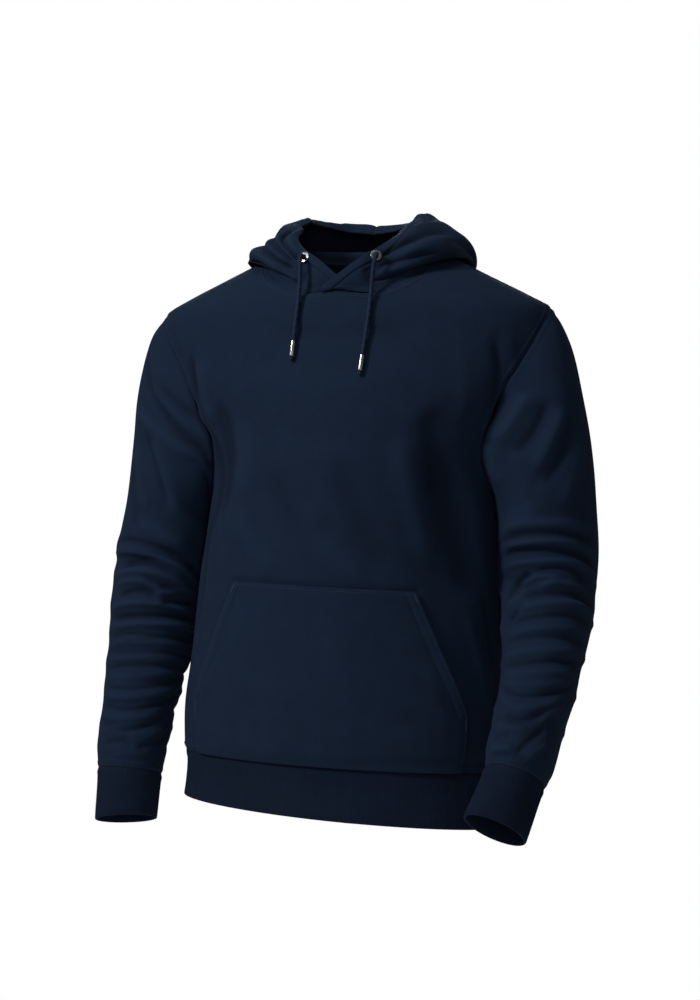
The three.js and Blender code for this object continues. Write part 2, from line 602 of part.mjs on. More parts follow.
// One direction for both walls that meet at the armhole, so that they end on the same line
const armholeMitres = { left: [], right: [] };
for (const side of ['left', 'right']) {
  for (let step = 0; step < ringCount; step += 1) {
    const mitre = armholeNormal(side, step).add(sleeveNormals[side][0][step]);
    if (mitre.length() < 0.5) mitre.add(new THREE.Vector3(0, 0, -1));
    armholeMitres[side].push(mitre.normalize());
  }
}

function makeSleeve(side) {
  const net = sleeveNets[side];
  const normals = sleeveNormals[side].map((row) => row.map((normal) => normal.clone()));
  normals[0] = armholeMitres[side];
  const outer = insetNet(net, ['bottom', 'top'], armholePull);
  return wallBetween(outer, offsetNet(outer, normals, -wall.fleece), true);
}

function makeCuff(side) {
  const end = sleeveRows[side].at(-1).along;
  const net = [sleeveNets[side].at(-1)];
  for (let row = 1; row <= cuff.rows; row += 1) {
    const along = lerp(cuff.seam, end, row / cuff.rows);
    net.push(ringAt(side, along));
  }
  const normals = tubeNormals(net, side);
  normals[0] = sleeveNormals[side].at(-1);
  const outer = insetNet(net, ['bottom']);
  return wallBetween(outer, offsetNet(outer, normals, -wall.rib), true);
}

// Front, back and hem

const neckTurn = (facing, part) => {
  const { angle, z } = neckPlace(facing, Math.abs(part));
  const turned = Math.sign(part) * angle;
  return { angle: facing === 'front' ? turned : Math.PI - turned, z };
};

// The neckline's walls lean half way between the body's cloth and the hood that stands on it
function neckMitre(angle, z) {
  const point = bodyPoint(angle, z);
  const out = new THREE.Vector3(point.x, point.y, 0).normalize();
  return bodyNormal(angle, z).add(out).normalize();
}

function makePanel(facing) {
  const places = panelPlaces(facing);
  const net = netOf(places, ({ angle, z }) => bodyPoint(angle, z));
  const normals = netOf(places, ({ angle, z }) => bodyNormal(angle, z));
  const top = places.length - 1;
  const neckColumns = facing === 'front' ? grid.neckFront : grid.neckBack;
  const columns = net[0].length;
  for (let step = 0; step <= grid.armhole; step += 1) {
    const row = top - step;
    const ring = facing === 'front' ? step : (ringCount - step) % ringCount;
    normals[row][columns - 1] = armholeMitres.left[ring];
    normals[row][0] = armholeMitres.right[ring];
  }
  for (let column = grid.shoulder; column <= grid.shoulder + 2 * neckColumns; column += 1) {
    normals[top][column] = neckMitre(places[top][column].angle, places[top][column].z);
  }
  const outer = insetNet(net, ['bottom', 'top', 'sides'], armholePull);
  return wallBetween(outer, offsetNet(outer, normals, -wall.fleece), false);
}

function hemLoop() {
  const loop = [];
  for (const facing of ['front', 'back']) {
    const row = panelPlaces(facing)[0];
    const ordered = facing === 'front' ? row : [...row].reverse();
    loop.push(...ordered.slice(0, -1));
  }
  return loop;
}

function makeHem() {
  const loop = hemLoop();
  const rows = [];
  for (let row = 0; row <= grid.hemRows; row += 1) {
    rows.push(loop.map(({ angle, z }) => {
      const band = body.hemBand + body.hemBandTilt * bodyHalf(z) * Math.sin(angle);
      return { angle, z: z - (band * row) / grid.hemRows };
    }));
  }
  const net = netOf(rows, ({ angle, z }) => bodyPoint(angle, z));
  const normals = netOf(rows, ({ angle, z }) => bodyNormal(angle, z));
  const outer = insetNet(net, ['bottom']);
  return wallBetween(outer, offsetNet(outer, normals, -wall.rib), true);
}

// Pocket: a net of the front's own surface, moved out

function pocketPlace(across, down) {
  const { topHeight, topTilt, topHalf, wideHeight, wideHalf, footHalf } = pocket;
  const slant = Math.min(1, down);
  const foot = Math.max(0, down - 1);
  const half = foot > 0 ? lerp(wideHalf, footHalf, foot) : lerp(topHalf, wideHalf, slant);
  const angle = across * half * deg;
  const tilt = -Math.sin(angle) * bodyHalf(topHeight) * topTilt;
  const low = hemHeight(angle) + pocket.hemClear;
  const wide = wideHeight + tilt;
  return { angle, z: foot > 0 ? lerp(wide, low, foot) : lerp(topHeight + tilt, wide, slant) };
}

function makePocket() {
  const rows = [];
  for (let row = 0; row <= pocket.slantRows + pocket.footRows; row += 1) {
    const foot = Math.max(0, row - pocket.slantRows) / pocket.footRows;
    const down = Math.min(1, row / pocket.slantRows) + foot;
    rows.push(Array.from({ length: pocket.columns + 1 }, (_, column) => (
      pocketPlace((2 * column) / pocket.columns - 1, down))));
  }
  const net = netOf(rows, ({ angle, z }) => bodyPoint(angle, z));
  const normals = netOf(rows, ({ angle, z }) => bodyNormal(angle, z));
  return wallBetween(
    offsetNet(net, normals, pocket.clear + wall.pocket),
    offsetNet(net, normals, pocket.clear),
    false,
  );
}

// Hood

const hoodFit = fitted(hoodRows, 'around');

// Places of the neckline that one hood panel is sewn to: every corner of the panels below it,
// and the middle of each straight stretch between two corners
function hoodSeam(side) {
  const corners = [];
  for (let i = -1; i <= grid.neckFront; i += 1) {
    corners.push(neckTurn('front', (sign[side] * i) / grid.neckFront));
  }
  for (let i = grid.neckBack - 1; i >= 0; i -= 1) {
    const place = neckTurn('back', (sign[side] * i) / grid.neckBack);
    corners.push(i === 0 ? { angle: Math.PI, z: place.z } : place);
  }
  const seam = [];
  corners.forEach((place, i) => {
    const point = bodyPoint(place.angle, place.z);
    const mitre = neckMitre(place.angle, place.z);
    if (i > 0) {
      const before = seam.at(-1);
      const between = before.mitre.clone().add(mitre).normalize();
      seam.push({ point: mix(before.point, point, 0.5), mitre: between });
    }
    seam.push({ point, mitre });
  });
  return seam;
}

function hoodFoldDepth(side, around, share) {
  let depth = 0;
  for (const fold of hoodFolds[side]) {
    if (share < fold.start || share > fold.end + 0.001) continue;
    const along = (share - fold.start) / (fold.end - fold.start);
    const ends = Math.min(1, foldEase.rise * Math.sin(Math.PI * foldEase.reach * along));
    const middle = fold.around - fold.turn * (along - 0.5);
    depth += fold.depth * ends * bell(around - middle, fold.spread);
  }
  return depth;
}

// One section of the hood, from the neck seam to the face edge
function hoodSection(side, seamPoint) {
  const flip = sign[side];
  const seamR = Math.hypot(seamPoint.x, seamPoint.y);
  const around = Math.atan2(flip * seamPoint.x, -seamPoint.y) / deg;
  const turn = around < -90 ? 180 : around;
  const lapShare = 1 - smooth((turn - hood.lapEnd) / (hood.lapFade - hood.lapEnd));
  const lap = flip * hood.lapClear * lapShare;
  const slump = side === 'right' ? hoodFit.slump(turn) : 0;
  const station = (key) => hoodFit[key](turn) - slump * (slumpShare[key] ?? 0);
  const control = [new THREE.Vector2(seamR, seamPoint.z)];
  for (const name of hoodStations) {
    control.push(new THREE.Vector2(station(`${name}R`) + lap, station(`${name}Z`)));
  }
  const curve = new THREE.SplineCurve(control);
  const points = [];
  const stretches = hoodSteps.length;
  const total = hoodSteps.reduce((sum, steps) => sum + steps, 0);
  hoodSteps.forEach((steps, stretch) => {
    for (let i = stretch === 0 ? 0 : 1; i <= steps; i += 1) {
      points.push(curve.getPoint((stretch + i / steps) / stretches));
    }
  });
  return { turn, lap, points, total };
}

function hoodNet(side) {
  const seam = hoodSeam(side);
  const columns = seam.map(({ point, mitre }) => {
    const { turn, lap, points, total } = hoodSection(side, point);
    return points.map((spot, i) => {
      if (i === 0) return point.clone().addScaledVector(mitre, lap);
      const r = spot.x + hoodFoldDepth(side, turn, i / total);
      const way = new THREE.Vector3(sign[side] * Math.sin(turn * deg), -Math.cos(turn * deg), 0);
      const placed = way.multiplyScalar(r).setZ(spot.y);
      return turn < hood.restFrom ? placed : clearOfBody(placed, Math.min(hood.restClear, i * 1.5));
    });
  });
  // Columns run from the face edge's lap to the centre back, rows from the seam to the edge
  const net = columns[0].map((_, row) => columns.map((column) => column[row]));
  return { net, seam };
}

function wasmSolid(geometry) {
  const merged = geometry.clone();
  for (const name of Object.keys(merged.attributes)) {
    if (name !== 'position') merged.deleteAttribute(name);
  }
  const welded = mergeVertices(merged, 1e-4);
  return new wasm.Manifold(new wasm.Mesh({
    numProp: 3,
    vertProperties: new Float32Array(welded.attributes.position.array),
    triVerts: new Uint32Array(welded.index.array),
  }));
}

function fromWasm(solid) {
  const mesh = solid.getMesh();
  const geometry = new THREE.BufferGeometry();
  geometry.setAttribute('position', new THREE.BufferAttribute(new Float32Array(mesh.vertProperties), 3));
  geometry.setIndex(Array.from(mesh.triVerts));
  return geometry;
}

const hoodNets = { left: hoodNet('left'), right: hoodNet('right') };

function hoodSurface(side) {
  const { net, seam } = hoodNets[side];
  const normals = netNormals(net, false, sign[side]);
  normals[0] = seam.map(({ mitre }) => mitre.clone());
  for (const row of normals) row[row.length - 1].setX(0).normalize();
  return { net, normals };
}

// The eyelet's centre on the hood and the way it faces
function eyeletSeat(side) {
  const { net } = hoodNets[side];
  const row = Math.round(eyelet.part * (net.length - 1));
  const turnOf = (point) => Math.atan2(sign[side] * point.x, -point.y) / deg;
  let column = 0;
  while (turnOf(net[row][column + 1]) < eyelet.around) column += 1;
  const before = turnOf(net[row][column]);
  const share = (eyelet.around - before) / (turnOf(net[row][column + 1]) - before);
  const centre = mix(net[row][column], net[row][column + 1], share);
  const across = net[row][column + 1].clone().sub(net[row][column]);
  const up = mix(net[row + 1][column], net[row + 1][column + 1], share)
    .sub(mix(net[row - 1][column], net[row - 1][column + 1], share));
  const facing = across.cross(up).multiplyScalar(sign[side]).normalize();
  return { centre, facing };
}

function alongAxis(geometry, centre, facing) {
  const turn = new THREE.Quaternion().setFromUnitVectors(new THREE.Vector3(0, 1, 0), facing);
  return geometry.applyQuaternion(turn).translate(centre.x, centre.y, centre.z);
}

function makeHood(side) {
  const { net, normals } = hoodSurface(side);
  const outer = insetNet(net, ['bottom'], hood.seamPull);
  // Only the centre-back end is sewn, so only that end is pulled back
  for (const row of outer) row[row.length - 1].x = (sign[side] * seamGap) / 2;
  const inner = offsetNet(outer, normals, -wall.hood);
  const shell = wallBetween(outer, inner, false);
  const { centre, facing } = eyeletSeat(side);
  const holeRadius = eyelet.barrel + seamGap;
  const punch = new THREE.CylinderGeometry(holeRadius, holeRadius, eyelet.punch, eyelet.sides);
  const cut = wasmSolid(shell).subtract(wasmSolid(alongAxis(punch, centre, facing)));
  return fromWasm(cut);
}

function makeEyelet(side) {
  const { centre, facing } = eyeletSeat(side);
  const rim = seamGap + eyelet.rim;
  const low = -wall.hood - seamGap;
  const profile = [
    [eyelet.hole, low], [eyelet.barrel, low], [eyelet.barrel, rim], [eyelet.outer, rim],
    [eyelet.outer - 0.3, rim + eyelet.flange * 0.7], [eyelet.outer - 1.4, rim + eyelet.flange],
    [eyelet.hole + 0.8, rim + eyelet.flange], [eyelet.hole, rim + eyelet.flange * 0.5], [eyelet.hole, low],
  ].map(([r, y]) => new THREE.Vector2(r, y));
  return alongAxis(new THREE.LatheGeometry(profile, eyelet.sides), centre, facing);
}

// Drawcord: a tube along each free end, its metal aglet, and the tip of cord below the aglet

function cordCurve(side) {
  return new THREE.CatmullRomCurve3(cordRoutes[side].map((spot) => new THREE.Vector3(...spot)));
}

function makeCord(side) {
  const corners = Array.from({ length: cord.sides }, (_, i) => {
    const turn = (2 * Math.PI * i) / cord.sides;
    return new THREE.Vector2(Math.cos(turn), Math.sin(turn)).multiplyScalar(cord.radius);
  });
  const section = new THREE.Shape(corners);
  return new THREE.ExtrudeGeometry(section, { steps: cordSteps, extrudePath: cordCurve(side) });
}

function cordEnd(side) {
  const curve = cordCurve(side);
  return { end: curve.getPoint(1), way: curve.getTangent(1) };
}

function makeAglet(side) {
  const { end, way } = cordEnd(side);
  const { radius, length, bevel } = aglet;
  const profile = [
    [0, seamGap], [radius - bevel, seamGap], [radius, seamGap + bevel],
    [radius, seamGap + length - bevel], [radius - bevel, seamGap + length], [0, seamGap + length],
  ].map(([r, y]) => new THREE.Vector2(r, y));
  return alongAxis(new THREE.LatheGeometry(profile, aglet.sides), end, way);
}

function makeTip(side) {
  const { end, way } = cordEnd(side);
  const start = 2 * seamGap + aglet.length;
  const tip = new THREE.CylinderGeometry(aglet.tipRadius, aglet.tipRadius, aglet.tip, cord.sides);
  tip.translate(0, start + aglet.tip / 2, 0);
  return alongAxis(tip, end, way);
}

// Assembly

const group = new THREE.Group();
const finishes = {
  fleece: { color: colours.fleece, roughness: 0.92, metalness: 0 },
  rib: { color: colours.rib, roughness: 0.9, metalness: 0 },
  cord: { color: colours.cord, roughness: 0.85, metalness: 0 },
  metal: { color: colours.metal, roughness: 0.28, metalness: 1 },
};

function add(name, geometry, finish) {
  const mesh = new THREE.Mesh(geometry, new THREE.MeshStandardMaterial(finishes[finish]));
  mesh.name = name;
  group.add(mesh);
}

add('front', makePanel('front'), 'fleece');
add('back', makePanel('back'), 'fleece');
add('hem_rib', makeHem(), 'rib');
add('pocket', makePocket(), 'fleece');
for (const side of ['left', 'right']) {
  add(`sleeve_${side}`, makeSleeve(side), 'fleece');
  add(`cuff_${side}`, makeCuff(side), 'rib');
  add(`hood_${side}`, makeHood(side), 'fleece');
  add(`eyelet_${side}`, makeEyelet(side), 'metal');
  add(`cord_${side}`, makeCord(side), 'cord');
  add(`aglet_${side}`, makeAglet(side), 'metal');
  add(`cord_tip_${side}`, makeTip(side), 'cord');
}

export default group;
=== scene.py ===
import math

import bmesh
import bpy
import numpy as np
from mathutils import Matrix, Vector


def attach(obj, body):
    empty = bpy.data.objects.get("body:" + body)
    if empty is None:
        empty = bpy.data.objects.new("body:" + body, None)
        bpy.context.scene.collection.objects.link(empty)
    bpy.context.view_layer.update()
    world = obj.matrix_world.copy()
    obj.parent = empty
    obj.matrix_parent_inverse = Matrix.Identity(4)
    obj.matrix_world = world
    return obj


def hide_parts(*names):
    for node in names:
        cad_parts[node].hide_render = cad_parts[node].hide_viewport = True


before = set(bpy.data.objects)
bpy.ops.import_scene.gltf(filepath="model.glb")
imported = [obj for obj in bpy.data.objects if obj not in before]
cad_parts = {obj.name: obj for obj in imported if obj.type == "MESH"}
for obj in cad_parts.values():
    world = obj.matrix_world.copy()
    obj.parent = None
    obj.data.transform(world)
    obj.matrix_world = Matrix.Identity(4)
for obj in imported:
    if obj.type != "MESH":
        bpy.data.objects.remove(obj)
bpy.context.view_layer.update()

# Pullover hoodie in navy fleece, filled out as worn. Lengths are in mm until a mesh is written,
# +Z is up and the front faces -Y. Left and right are the garment's own.

mm = 0.001
sign = {"left": 1, "right": -1}


def smooth(value):
    held = np.clip(value, 0, 1)
    return held * held * (3 - 2 * held)


def lerp(a, b, share):
    return a + (b - a) * share


def bell(distance, spread):
    return np.exp(-(distance * distance) / (2 * spread * spread))


def turnBetween(a, b):
    return (a - b + 180) % 360 - 180


def unit(vectors):
    return vectors / np.maximum(np.linalg.norm(vectors, axis=-1, keepdims=True), 1e-9)


def stack(x, y, z):
    return np.stack(np.broadcast_arrays(x, y, z), axis=-1)


def track(rows, key, column):  # a smooth curve through one column of a table
    at = np.array([row[key] for row in rows], float)
    value = np.array([row[column] for row in rows], float)
    last = len(rows) - 1
    before = np.maximum(np.arange(last + 1) - 1, 0)
    after = np.minimum(np.arange(last + 1) + 1, last)
    slope = (value[after] - value[before]) / (at[after] - at[before])

    def curve(x):
        x = np.asarray(x, float)
        i = np.clip(np.searchsorted(at, x, side="left") - 1, 0, last - 1)
        h = at[i + 1] - at[i]
        t = np.clip((x - at[i]) / h, 0, 1)
        ends = (2 * t**3 - 3 * t**2 + 1) * value[i] + (3 * t**2 - 2 * t**3) * value[i + 1]
        return ends + ((t**3 - 2 * t**2 + t) * slope[i] + (t**3 - t**2) * slope[i + 1]) * h

    return curve


def fitted(rows, key):
    return {name: track(rows, key, name) for name in rows[0] if name != key}


def table(columns, lines):  # rows of a table, each with the columns' names
    names = columns.split()
    return [dict(zip(names, line)) for line in lines]


# Camera at the photo's angle: turned to the garment's left, level, aimed below the chest

cameraView = {"around": 15, "distance": 3500, "height": -294, "aside": -8.75, "seen": 1250,
              "sensor": 36}


def makeCamera():
    around = math.radians(cameraView["around"])
    across = Vector((math.cos(around), math.sin(around), 0))
    toward = Vector((math.sin(around), -math.cos(around), 0))
    aim = across * cameraView["aside"] + Vector((0, 0, cameraView["height"]))
    data = bpy.data.cameras.new("camera")
    data.sensor_width = cameraView["sensor"]
    data.lens = cameraView["sensor"] * cameraView["distance"] / cameraView["seen"]
    data.clip_end = 100
    camera = bpy.data.objects.new("camera", data)
    bpy.context.scene.collection.objects.link(camera)
    camera.location = (aim + toward * cameraView["distance"]) * mm
    camera.rotation_euler = (-toward).to_track_quat("-Z", "Y").to_euler()
    bpy.context.scene.camera = camera


makeCamera()
print("camera placed")


def linear(code):  # sRGB hex to linear
    parts = [int(code[i:i + 2], 16) / 255 for i in (1, 3, 5)]
    turned = [p / 12.92 if p <= 0.04045 else ((p + 0.055) / 1.055) ** 2.4 for p in parts]
    return (*turned, 1)


def addNode(tree, kind, settings=None, links=None):  # a linked node gives its first output
    node = tree.nodes.new(kind)
    for name, value in (settings or {}).items():
        if isinstance(name, int) or name in node.inputs:
            node.inputs[name].default_value = value
        else:
            setattr(node, name, value)
    for name, source in (links or {}).items():
        tree.links.new(source.outputs[0] if hasattr(source, "outputs") else source, node.inputs[name])
    return node


def newMaterial(name):
    material = bpy.data.materials.new(name)
    material.use_nodes = True
    material.node_tree.nodes.clear()
    return material, material.node_tree


def finishMaterial(tree, shader):
    output = addNode(tree, "ShaderNodeOutputMaterial")
    tree.links.new(shader.outputs[0], output.inputs["Surface"])


# Brushed fleece: a cotton face knit, matt, with a short soft nap that catches light at its edges.
# Its stitches are about 0.8 mm wide; they are drawn 1.5 mm wide, so that they just show. Wale,
# course, nap and mottle are sizes in mm.
# The colour for the crests and its most share are a painted highlight on the creases' crests; the trough
# colour and its most share are a painted shade in their troughs.
fleeceLook = {"face": "#172539", "light": "#1b2b42", "crestHighlight": "#20324a", "trough": "#121d2f",
              "inside": "#172337", "rough": 0.9, "roughSpread": 0.06, "specular": 0.12, "sheen": 0.05,
              "sheenTint": "#7f95b8", "wale": 1.5, "course": 1.2, "nap": 1.3, "mottle": 22,
              "highlightMost": 0.5, "shadeMost": 0.6, "bump": 0.3, "bumpDeep": 0.4}
# Rib knit of the hem and cuffs: the same yarn, tighter and a shade deeper; painted highlight and shade too
ribLook = {**fleeceLook, "face": "#121d30", "light": "#162338", "crestHighlight": "#1a283e",
           "trough": "#0c1524", "wale": 1.9, "course": 1.0}


def clothMaterial(name, look):
    material, tree = newMaterial(name)
    place = addNode(tree, "ShaderNodeTexCoord").outputs["Object"]
    cut = addNode(tree, "ShaderNodeUVMap", {"uv_map": "cut"})
    inner = addNode(tree, "ShaderNodeAttribute", {"attribute_name": "inner"}).outputs["Fac"]
    relief = addNode(tree, "ShaderNodeAttribute", {"attribute_name": "relief"}).outputs["Fac"]
    # knit: each wale is a column of V stitches
    parts = addNode(tree, "ShaderNodeSeparateXYZ", links={0: cut}).outputs
    across = addNode(tree, "ShaderNodeMath", {"operation": "MULTIPLY", 1: 1000 / look["wale"]},
                     {0: parts["X"]})
    along = addNode(tree, "ShaderNodeMath", {"operation": "MULTIPLY", 1: 1000 / look["course"]},
                    {0: parts["Y"]})
    side = addNode(tree, "ShaderNodeMath", {"operation": "PINGPONG", 1: 0.5}, {0: across})
    slanted = addNode(tree, "ShaderNodeMath", {"operation": "ADD"}, {0: along, 1: side})
    turned = addNode(tree, "ShaderNodeMath", {"operation": "MULTIPLY", 1: 2 * math.pi}, {0: slanted})
    stitch = addNode(tree, "ShaderNodeMath", {"operation": "SINE"}, {0: turned})
    nap = addNode(tree, "ShaderNodeTexNoise",
                  {"Scale": 1000 / look["nap"], "Detail": 3.0, "Roughness": 0.65}, {"Vector": place})
    mottle = addNode(tree, "ShaderNodeTexNoise",
                     {"Scale": 1000 / look["mottle"], "Detail": 5.0, "Roughness": 0.62},
                     {"Vector": place})
    ridge = addNode(tree, "ShaderNodeMath", {"operation": "MULTIPLY_ADD", 1: 2.0}, {0: side, 2: nap})
    height = addNode(tree, "ShaderNodeMath", {"operation": "MULTIPLY_ADD", 1: 0.3},
                     {0: stitch, 2: ridge})
    bump = addNode(tree, "ShaderNodeBump",
                   {"Strength": look["bump"], "Distance": look["bumpDeep"] * mm}, {"Height": height})
    # colour: mottled yarn, with a painted highlight on the crests and painted shade in the troughs, and
    # deeper inside
    speckle = addNode(tree, "ShaderNodeMath", {"operation": "MULTIPLY_ADD", 1: 0.6},
                      {0: nap, 2: mottle})
    spread = addNode(tree, "ShaderNodeMapRange", {"From Min": 0.55, "From Max": 1.05},
                     {"Value": speckle})
    crest = addNode(tree, "ShaderNodeMapRange",
                    {"From Min": 0.15, "From Max": 1.0, "To Max": look["highlightMost"]}, {"Value": relief})
    hollow = addNode(tree, "ShaderNodeMapRange",
                     {"From Min": -0.15, "From Max": -1.0, "To Max": look["shadeMost"]},
                     {"Value": relief})
    face = addNode(tree, "ShaderNodeMixRGB", {1: linear(look["face"]), 2: linear(look["light"])},
                   {0: spread})
    crestHighlight = addNode(tree, "ShaderNodeMixRGB", {2: linear(look["crestHighlight"])}, {0: crest, 1: face})
    shaded = addNode(tree, "ShaderNodeMixRGB", {2: linear(look["trough"])}, {0: hollow, 1: crestHighlight})
    colour = addNode(tree, "ShaderNodeMixRGB", {2: linear(look["inside"])}, {0: inner, 1: shaded})
    rough = addNode(tree, "ShaderNodeMapRange", {"To Min": look["rough"] - look["roughSpread"],
                                                 "To Max": look["rough"] + look["roughSpread"]},
                    {"Value": mottle})
    shader = addNode(tree, "ShaderNodeBsdfPrincipled",
                     {"IOR": 1.5, "Specular IOR Level": look["specular"], "Sheen Weight": look["sheen"],
                      "Sheen Roughness": 0.45, "Sheen Tint": linear(look["sheenTint"])},
                     {"Base Color": colour, "Roughness": rough, "Normal": bump})
    finishMaterial(tree, shader)
    return material


# Round braid of polyester yarn: closer and a little shinier than the fleece. Fibre is in mm.
# On the cord, high is the colour of a painted highlight on the strands' crests.
cordLook = {"yarn": "#152238", "high": "#243550", "rough": 0.75, "specular": 0.18, "fibre": 1.1,
            "bump": 0.2, "bumpDeep": 0.3}
# Core-spun sewing thread, smooth enough to stand out from the knit
threadLook = {**cordLook, "yarn": "#25364f", "high": "#324560", "rough": 0.6}


def yarnMaterial(name, look):
    material, tree = newMaterial(name)
    place = addNode(tree, "ShaderNodeTexCoord").outputs["Object"]
    relief = addNode(tree, "ShaderNodeAttribute", {"attribute_name": "relief"}).outputs["Fac"]
    fibre = addNode(tree, "ShaderNodeTexNoise", {"Scale": 1000 / look["fibre"], "Detail": 3.0},
                    {"Vector": place})
    faint = addNode(tree, "ShaderNodeMath", {"operation": "MULTIPLY", 1: 0.5}, {0: fibre})
    # colour: a painted highlight where relief marks the strands' crests, with the fibre's tone mixed in
    share = addNode(tree, "ShaderNodeMath", {"operation": "MULTIPLY_ADD", 1: 0.6},
                    {0: relief, 2: faint})
    colour = addNode(tree, "ShaderNodeMixRGB", {1: linear(look["yarn"]), 2: linear(look["high"])},
                     {0: share})
    bump = addNode(tree, "ShaderNodeBump",
                   {"Strength": look["bump"], "Distance": look["bumpDeep"] * mm}, {"Height": fibre})
    shader = addNode(tree, "ShaderNodeBsdfPrincipled",
                     {"Roughness": look["rough"], "Specular IOR Level": look["specular"]},
                     {"Base Color": colour, "Normal": bump})
    finishMaterial(tree, shader)
    return material


# Nickel-plated brass, pressed and tumbled: bright, with fine scuffs, in mm, that break up its gloss
nickelLook = {"plate": "#c9cacb", "dull": "#a9abad", "rough": 0.2, "roughSpread": 0.16, "scuff": 2.4}


def nickelMaterial():
    material, tree = newMaterial("nickelPlate")
    place = addNode(tree, "ShaderNodeTexCoord").outputs["Object"]
    scuff = addNode(tree, "ShaderNodeTexNoise",
                    {"Scale": 1000 / nickelLook["scuff"], "Detail": 6.0, "Roughness": 0.7},
                    {"Vector": place})
    rough = addNode(tree, "ShaderNodeMapRange",
                    {"From Min": 0.35, "From Max": 0.7, "To Min": nickelLook["rough"],
                     "To Max": nickelLook["rough"] + nickelLook["roughSpread"]}, {"Value": scuff})
    colour = addNode(tree, "ShaderNodeMixRGB",
                     {1: linear(nickelLook["plate"]), 2: linear(nickelLook["dull"])}, {0: scuff})
    shader = addNode(tree, "ShaderNodeBsdfPrincipled", {"Metallic": 1.0},
                     {"Base Color": colour, "Roughness": rough})
    finishMaterial(tree, shader)
    return material


# Matt studio paper, with a grain in mm
paperLook = {"tone": "#f4f4f3", "rough": 0.95, "grain": 3.3, "bump": 0.02}


def paperMaterial():
    material, tree = newMaterial("studioPaper")
    place = addNode(tree, "ShaderNodeTexCoord").outputs["Object"]
    grain = addNode(tree, "ShaderNodeTexNoise", {"Scale": 1000 / paperLook["grain"], "Detail": 2.0},
                    {"Vector": place})
    bump = addNode(tree, "ShaderNodeBump", {"Strength": paperLook["bump"]}, {"Height": grain})
    shader = addNode(tree, "ShaderNodeBsdfPrincipled",
                     {"Base Color": linear(paperLook["tone"]), "Roughness": paperLook["rough"]},
                     {"Normal": bump})
    finishMaterial(tree, shader)
    return material


fleece = clothMaterial("brushedFleece", fleeceLook)
rib = clothMaterial("ribKnit", ribLook)
braid = yarnMaterial("braidedCord", cordLook)
thread = yarnMaterial("sewingThread", threadLook)
nickel = nickelMaterial()
print("materials made")


def writeMesh(name, points, faces, uvs, marks, material):
    mesh = bpy.data.meshes.new(name)
    faces = np.asarray(faces, np.int32)
    corners = faces.shape[1]
    mesh.vertices.add(len(points))
    mesh.vertices.foreach_set("co", (np.asarray(points, float) * mm).astype(np.float32).ravel())
    mesh.loops.add(faces.size)
    mesh.loops.foreach_set("vertex_index", faces.ravel())
    mesh.polygons.add(len(faces))
    mesh.polygons.foreach_set("loop_start", np.arange(0, faces.size, corners, dtype=np.int32))
    mesh.polygons.foreach_set("loop_total", np.full(len(faces), corners, np.int32))
    mesh.update(calc_edges=True)
    if uvs is not None:
        layer = mesh.uv_layers.new(name="cut")
        layer.data.foreach_set("uv", (np.asarray(uvs, float) * mm).astype(np.float32).ravel())
    for mark, values in marks.items():
        held = mesh.attributes.new(mark, "FLOAT", "POINT")
        held.data.foreach_set("value", np.asarray(values, np.float32).ravel())
    mesh.polygons.foreach_set("use_smooth", np.ones(len(faces), bool))
    mesh.materials.append(material)
    piece = bpy.data.objects.new(name, mesh)
    bpy.context.scene.collection.objects.link(piece)
    return piece


def netNormals(net, closed):
    if closed:
        across = np.roll(net, -1, axis=1) - np.roll(net, 1, axis=1)
    else:
        across = np.gradient(net, axis=1)
    return unit(np.cross(across, np.gradient(net, axis=0)))


def meshVolume(points, faces):
    a, b, c, d = (points[faces[:, i]] for i in range(4))
    return np.sum(a * np.cross(b, c)) + np.sum(a * np.cross(c, d))


nets = {}  # each piece's finished face, its normals, and the cloth's lengths from all four edges


def keepNet(name, *parts):
    nets[name] = dict(zip(("face", "facing", "low", "high", "first", "last"), parts))


# A wall of cloth from its outer net: rows by columns of points, with the cut's measures in uv.
# Its edges are rounded over, as folded or overlocked cloth is.
shellLook = {"rim": 3, "round": 0.9}


def stepInside(value, top):  # the row or column one in from the edge
    return np.where(value == 0, 1, np.where(value == top, top - 1, value))


